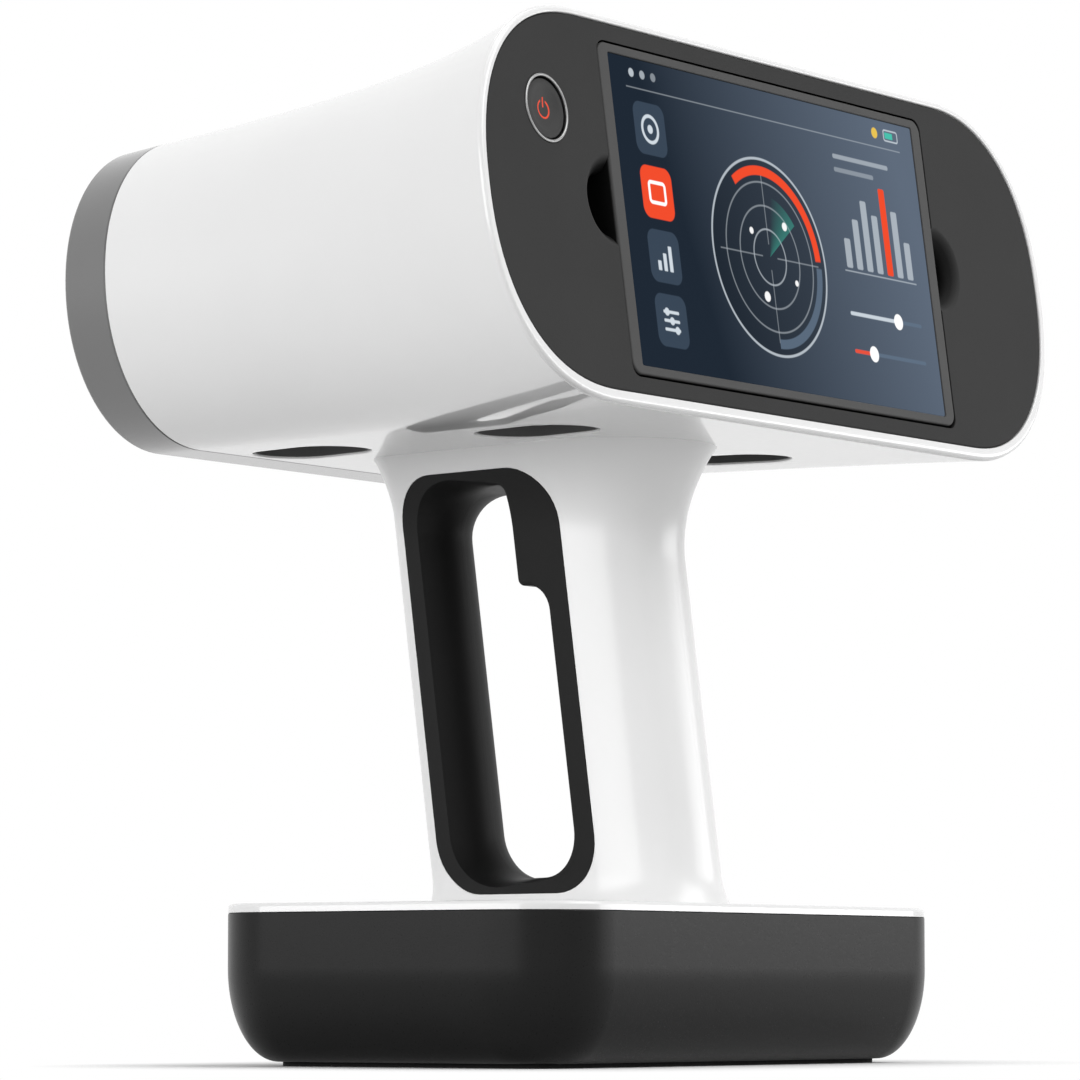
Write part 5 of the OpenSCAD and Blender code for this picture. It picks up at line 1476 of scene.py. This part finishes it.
class SCANNER_OT_drawer(bpy.types.Operator):
    """Make the battery drawer: its front cut from the tub's own shape, a tray behind and a pull groove"""
    bl_idname = "scanner.drawer"
    bl_label = "Battery drawer"

    def execute(self, context):
        b = settings("scanner_base")
        z, inset = tub_profile(b)
        drawer = loft("battery_drawer_body", base_rings(b, z, inset))
        low, high = b.drawer_z, b.drawer_z + b.drawer_h
        front_box = plain_rectangle(0, (b.d - b.front_t) / 2, b.drawer_w, b.front_t)
        carve(drawer, [prism("front_tool", front_box, low, high, upright)], "INTERSECT")
        wall, lap = 1.2 * MM, 1 * MM
        front = b.d / 2 - b.front_t
        deep = front - b.drawer_back + lap
        tray_box = plain_rectangle(0, b.drawer_back + deep / 2, b.drawer_w, deep)
        carve(drawer, [prism("tray", tray_box, low, high - lap, upright)], "UNION")
        inner = front - b.drawer_back - wall - lap
        hollow = plain_rectangle(0, b.drawer_back + wall + inner / 2, b.drawer_w - 2 * wall, inner)
        pull_d, pull_half = 18 * MM, 22 * MM
        side_on = lambda a, c, e: upright(e, b.d / 2 + 5 * MM + a, (low + high) / 2 + c)
        carve(drawer, [prism("tray_tool", hollow, low + wall, high + 2 * MM, upright),
                       rod("pull_tool", pull_d, -pull_half, pull_half, 0, 0, side_on, 128)])
        dress(drawer, painted("tub_charcoal"), "battery", ["battery_drawer"])
        return {"FINISHED"}


class SCANNER_OT_optics(bpy.types.Operator):
    """Make the stepped rings and the coated lenses behind the front's three windows"""
    bl_idname = "scanner.optics"
    bl_label = "Front lenses"

    def execute(self, context):
        front = front_place(settings("scanner_head"))
        for name, at, d in (("projector", 0.0, 32), ("camera_one", -52.0, 24), ("camera_two", 52.0, 24)):
            place = lambda x, y, z, at=at: front(x + at * MM, y, z)
            r = d / 2 - 2.3
            steps = [(r, 5.2), (r, 6.4), (r - 1.4, 6.8), (r - 1.4, 8.2), (r - 2.8, 8.6), (r - 2.8, 10.0),
                     (r - 3.8, 10.4), (r - 3.8, 14.0), (r, 14.0)]
            barrel = lathe(f"{name}_barrel_rings", np.array(steps) * MM, place, tube=True)
            dress(barrel, painted("optic_black"), "scanner")
            reach, bulge, top, foot = r - 3.9, 14.0, 9.6, 13.5
            a = np.linspace(0, reach, 14)
            dome = [*zip(a, top + bulge - np.sqrt(bulge ** 2 - a ** 2)), (reach, foot), (0, foot)]
            lens = lathe(f"{name}_lens", np.array(dome) * MM, place)
            map_flat(lens, *directions(place)[:2], reach * MM, reach * MM, middle=0.0)
            dress(lens, painted("coated_lens"), "scanner")
        return {"FINISHED"}


KEPT = {
    "optic_black": ["front_panel", "projector_module", "camera_left", "camera_right", "fan_frame_left",
                    "fan_frame_right", "fan_rotor_left", "fan_rotor_right", "processor",
                    "memory_drive", "battery_lid", "contact_block", "wiring_harness"],
    "optic_glass": ["projector_window", "camera_windows"],
    "bare_metal": ["projector_hood", "optical_bench", "neck_bracket", "display_module", "heat_sink"],
    "board_green": ["flash_board", "screen_board", "button_switch", "main_board", "antenna_board",
                    "trigger_switch"],
    "lamp_white": ["flash_lamps"],
    "steel": ["neck_screws", "hinge_pins", "grip_screws", "trigger_spring", "base_screws",
              "drawer_catches"],
    "brass": ["board_spacers", "battery_terminals"],
    "foot_rubber": ["foot_pad"],
    "cell_wrap": ["battery_cells"],
}


class SCANNER_OT_kept_solids(bpy.types.Operator):
    """Give the solids that stay their finishes"""
    bl_idname = "scanner.kept_solids"
    bl_label = "Finish the kept solids"

    def execute(self, context):
        for finish, nodes in KEPT.items():
            for node in nodes:
                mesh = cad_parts[node].data
                mesh.materials.clear()
                mesh.materials.append(painted(finish))
        return {"FINISHED"}


# Stage

def lamp(name, at, aim, size_x, size_y, watts):
    """A soft rectangular lamp that looks at a point."""
    data = bpy.data.lights.new(name, "AREA")
    data.shape = "RECTANGLE"
    data.size, data.size_y = size_x, size_y
    data.energy = watts
    made = bpy.data.objects.new(name, data)
    bpy.context.scene.collection.objects.link(made)
    made.location = at
    made.rotation_euler = (Vector(at) - Vector(aim)).to_track_quat("Z", "Y").to_euler()


def seen_rays(f):
    """1 for rays from the camera, off gloss and through glass."""
    path = f.node("ShaderNodeLightPath", out="Is Camera Ray")
    return path.most(path.part("Is Glossy Ray")).most(path.part("Is Transmission Ray"))


class SCANNER_OT_stage(bpy.types.Operator):
    """Set up the camera, the pale floor, the background and the lamps"""
    bl_idname = "scanner.stage"
    bl_label = "Stage"

    def execute(self, context):
        scene = context.scene
        scene.view_settings.view_transform = "Standard"
        eye = (-0.9850, -0.7024, 0.0158)
        ahead, right = (0.8060, 0.5854, 0.0870), (0.5876, -0.8091, 0.0)
        up = (-0.0704, -0.0511, 0.9962)
        camera = bpy.data.cameras.new("view")
        camera.sensor_width = 36
        camera.lens = 173.89
        camera.clip_start, camera.clip_end = 0.01, 20
        holder = bpy.data.objects.new("view", camera)
        scene.collection.objects.link(holder)
        axes = Matrix([[right[k], up[k], -ahead[k]] for k in range(3)])
        holder.matrix_world = Matrix.Translation(eye) @ axes.to_4x4()
        scene.camera = holder
        floor = bpy.data.meshes.new("floor")
        floor.from_pydata([(-6, -6, 0), (6, -6, 0), (6, 6, 0), (-6, 6, 0)], [], [(0, 1, 2, 3)])
        ground = bpy.data.objects.new("floor", floor)
        scene.collection.objects.link(ground)
        f = Finish("pale_floor")
        bounce = f.node("ShaderNodeBsdfDiffuse", {}, {"Color": (0.46, 0.46, 0.46, 1)})
        pale = f.node("ShaderNodeBsdfDiffuse", {}, {"Color": (0.95, 0.95, 0.95, 1)})
        white = f.node("ShaderNodeEmission", {}, {"Color": (1, 1, 1, 1), "Strength": 1.0})
        where = f.node("ShaderNodeSeparateXYZ", {}, {0: f.place()})
        # Close round the base the floor shows its shadow, and further off it is plain white
        b = settings("scanner_base")
        away = block(where.part("X"), where.part("Y"), 0, 0, b.w, b.d, b.r)
        looks = f.node("ShaderNodeMixShader", {}, {0: 0.06 + away.between(0.006, 0.045) * 0.94, 1: pale,
                                                   2: white})
        top = f.node("ShaderNodeMixShader", {}, {0: seen_rays(f), 1: bounce, 2: looks})
        # From below the floor is clear, so that the underside shows
        clear = f.node("ShaderNodeBsdfTransparent")
        under = f.node("ShaderNodeNewGeometry", out="Backfacing")
        floor.materials.append(f.end(f.node("ShaderNodeMixShader", {}, {0: under, 1: top, 2: clear})))
        sky = Finish("studio", bpy.data.worlds)
        soft = sky.node("ShaderNodeBackground", {}, {"Color": (1, 1, 1, 1), "Strength": 0.4})
        pure = sky.node("ShaderNodeBackground", {}, {"Color": (1, 1, 1, 1), "Strength": 1.0})
        both = sky.node("ShaderNodeMixShader", {}, {0: seen_rays(sky), 1: soft, 2: pure})
        scene.world = sky.end(both, "ShaderNodeOutputWorld")
        middle = (0.0, 0.0, 0.13)
        lamp("key", (0.5, -1.7, 1.7), middle, 1.6, 1.4, 26)
        lamp("low_key", (1.6, -1.6, 0.35), middle, 1.6, 0.6, 10)
        lamp("left_fill", (-2.2, 0.5, 0.5), middle, 3.0, 0.9, 31)
        lamp("near_fill", (-1.7, -1.6, 0.6), middle, 2.0, 1.0, 3)
        lamp("top_soft", (0.2, 0.2, 2.2), middle, 1.8, 1.8, 11)
        return {"FINISHED"}


OPERATORS = (SCANNER_OT_stage, SCANNER_OT_kept_solids, SCANNER_OT_head, SCANNER_OT_vents,
             SCANNER_OT_front_ring, SCANNER_OT_optics, SCANNER_OT_bezel, SCANNER_OT_screen,
             SCANNER_OT_power_button, SCANNER_OT_grip, SCANNER_OT_liner, SCANNER_OT_trigger,
             SCANNER_OT_base, SCANNER_OT_drawer)


class SCANNER_PT_sidebar(bpy.types.Panel):
    """Sidebar list of the scanner's pieces and sizes"""
    bl_idname = "SCANNER_PT_sidebar"
    bl_label = "Scanner"
    bl_space_type = "VIEW_3D"
    bl_region_type = "UI"
    bl_category = "Scanner"

    def draw(self, context):
        for operator in OPERATORS:
            self.layout.operator(operator.bl_idname)
        for name, group in GROUPS.items():
            box = self.layout.box()
            box.label(text=group.__doc__)
            for key in group.__annotations__:
                box.prop(getattr(context.scene, name), key)


def register():
    """Registers the groups of sizes, the operators and the sidebar."""
    for group in GROUPS.values():
        bpy.utils.register_class(group)
    for name, group in GROUPS.items():
        setattr(bpy.types.Scene, name, bpy.props.PointerProperty(type=group))
    for operator in OPERATORS:
        bpy.utils.register_class(operator)
    bpy.utils.register_class(SCANNER_PT_sidebar)


def unregister():
    """Takes back what register did."""
    bpy.utils.unregister_class(SCANNER_PT_sidebar)
    for operator in reversed(OPERATORS):
        bpy.utils.unregister_class(operator)
    for name, group in GROUPS.items():
        delattr(bpy.types.Scene, name)
        bpy.utils.unregister_class(group)


def main():
    """Makes every piece in order."""
    register()
    for operator in OPERATORS:
        category, name = operator.bl_idname.split(".")
        getattr(getattr(bpy.ops, category), name)()


if __name__ == "__main__":
    main()
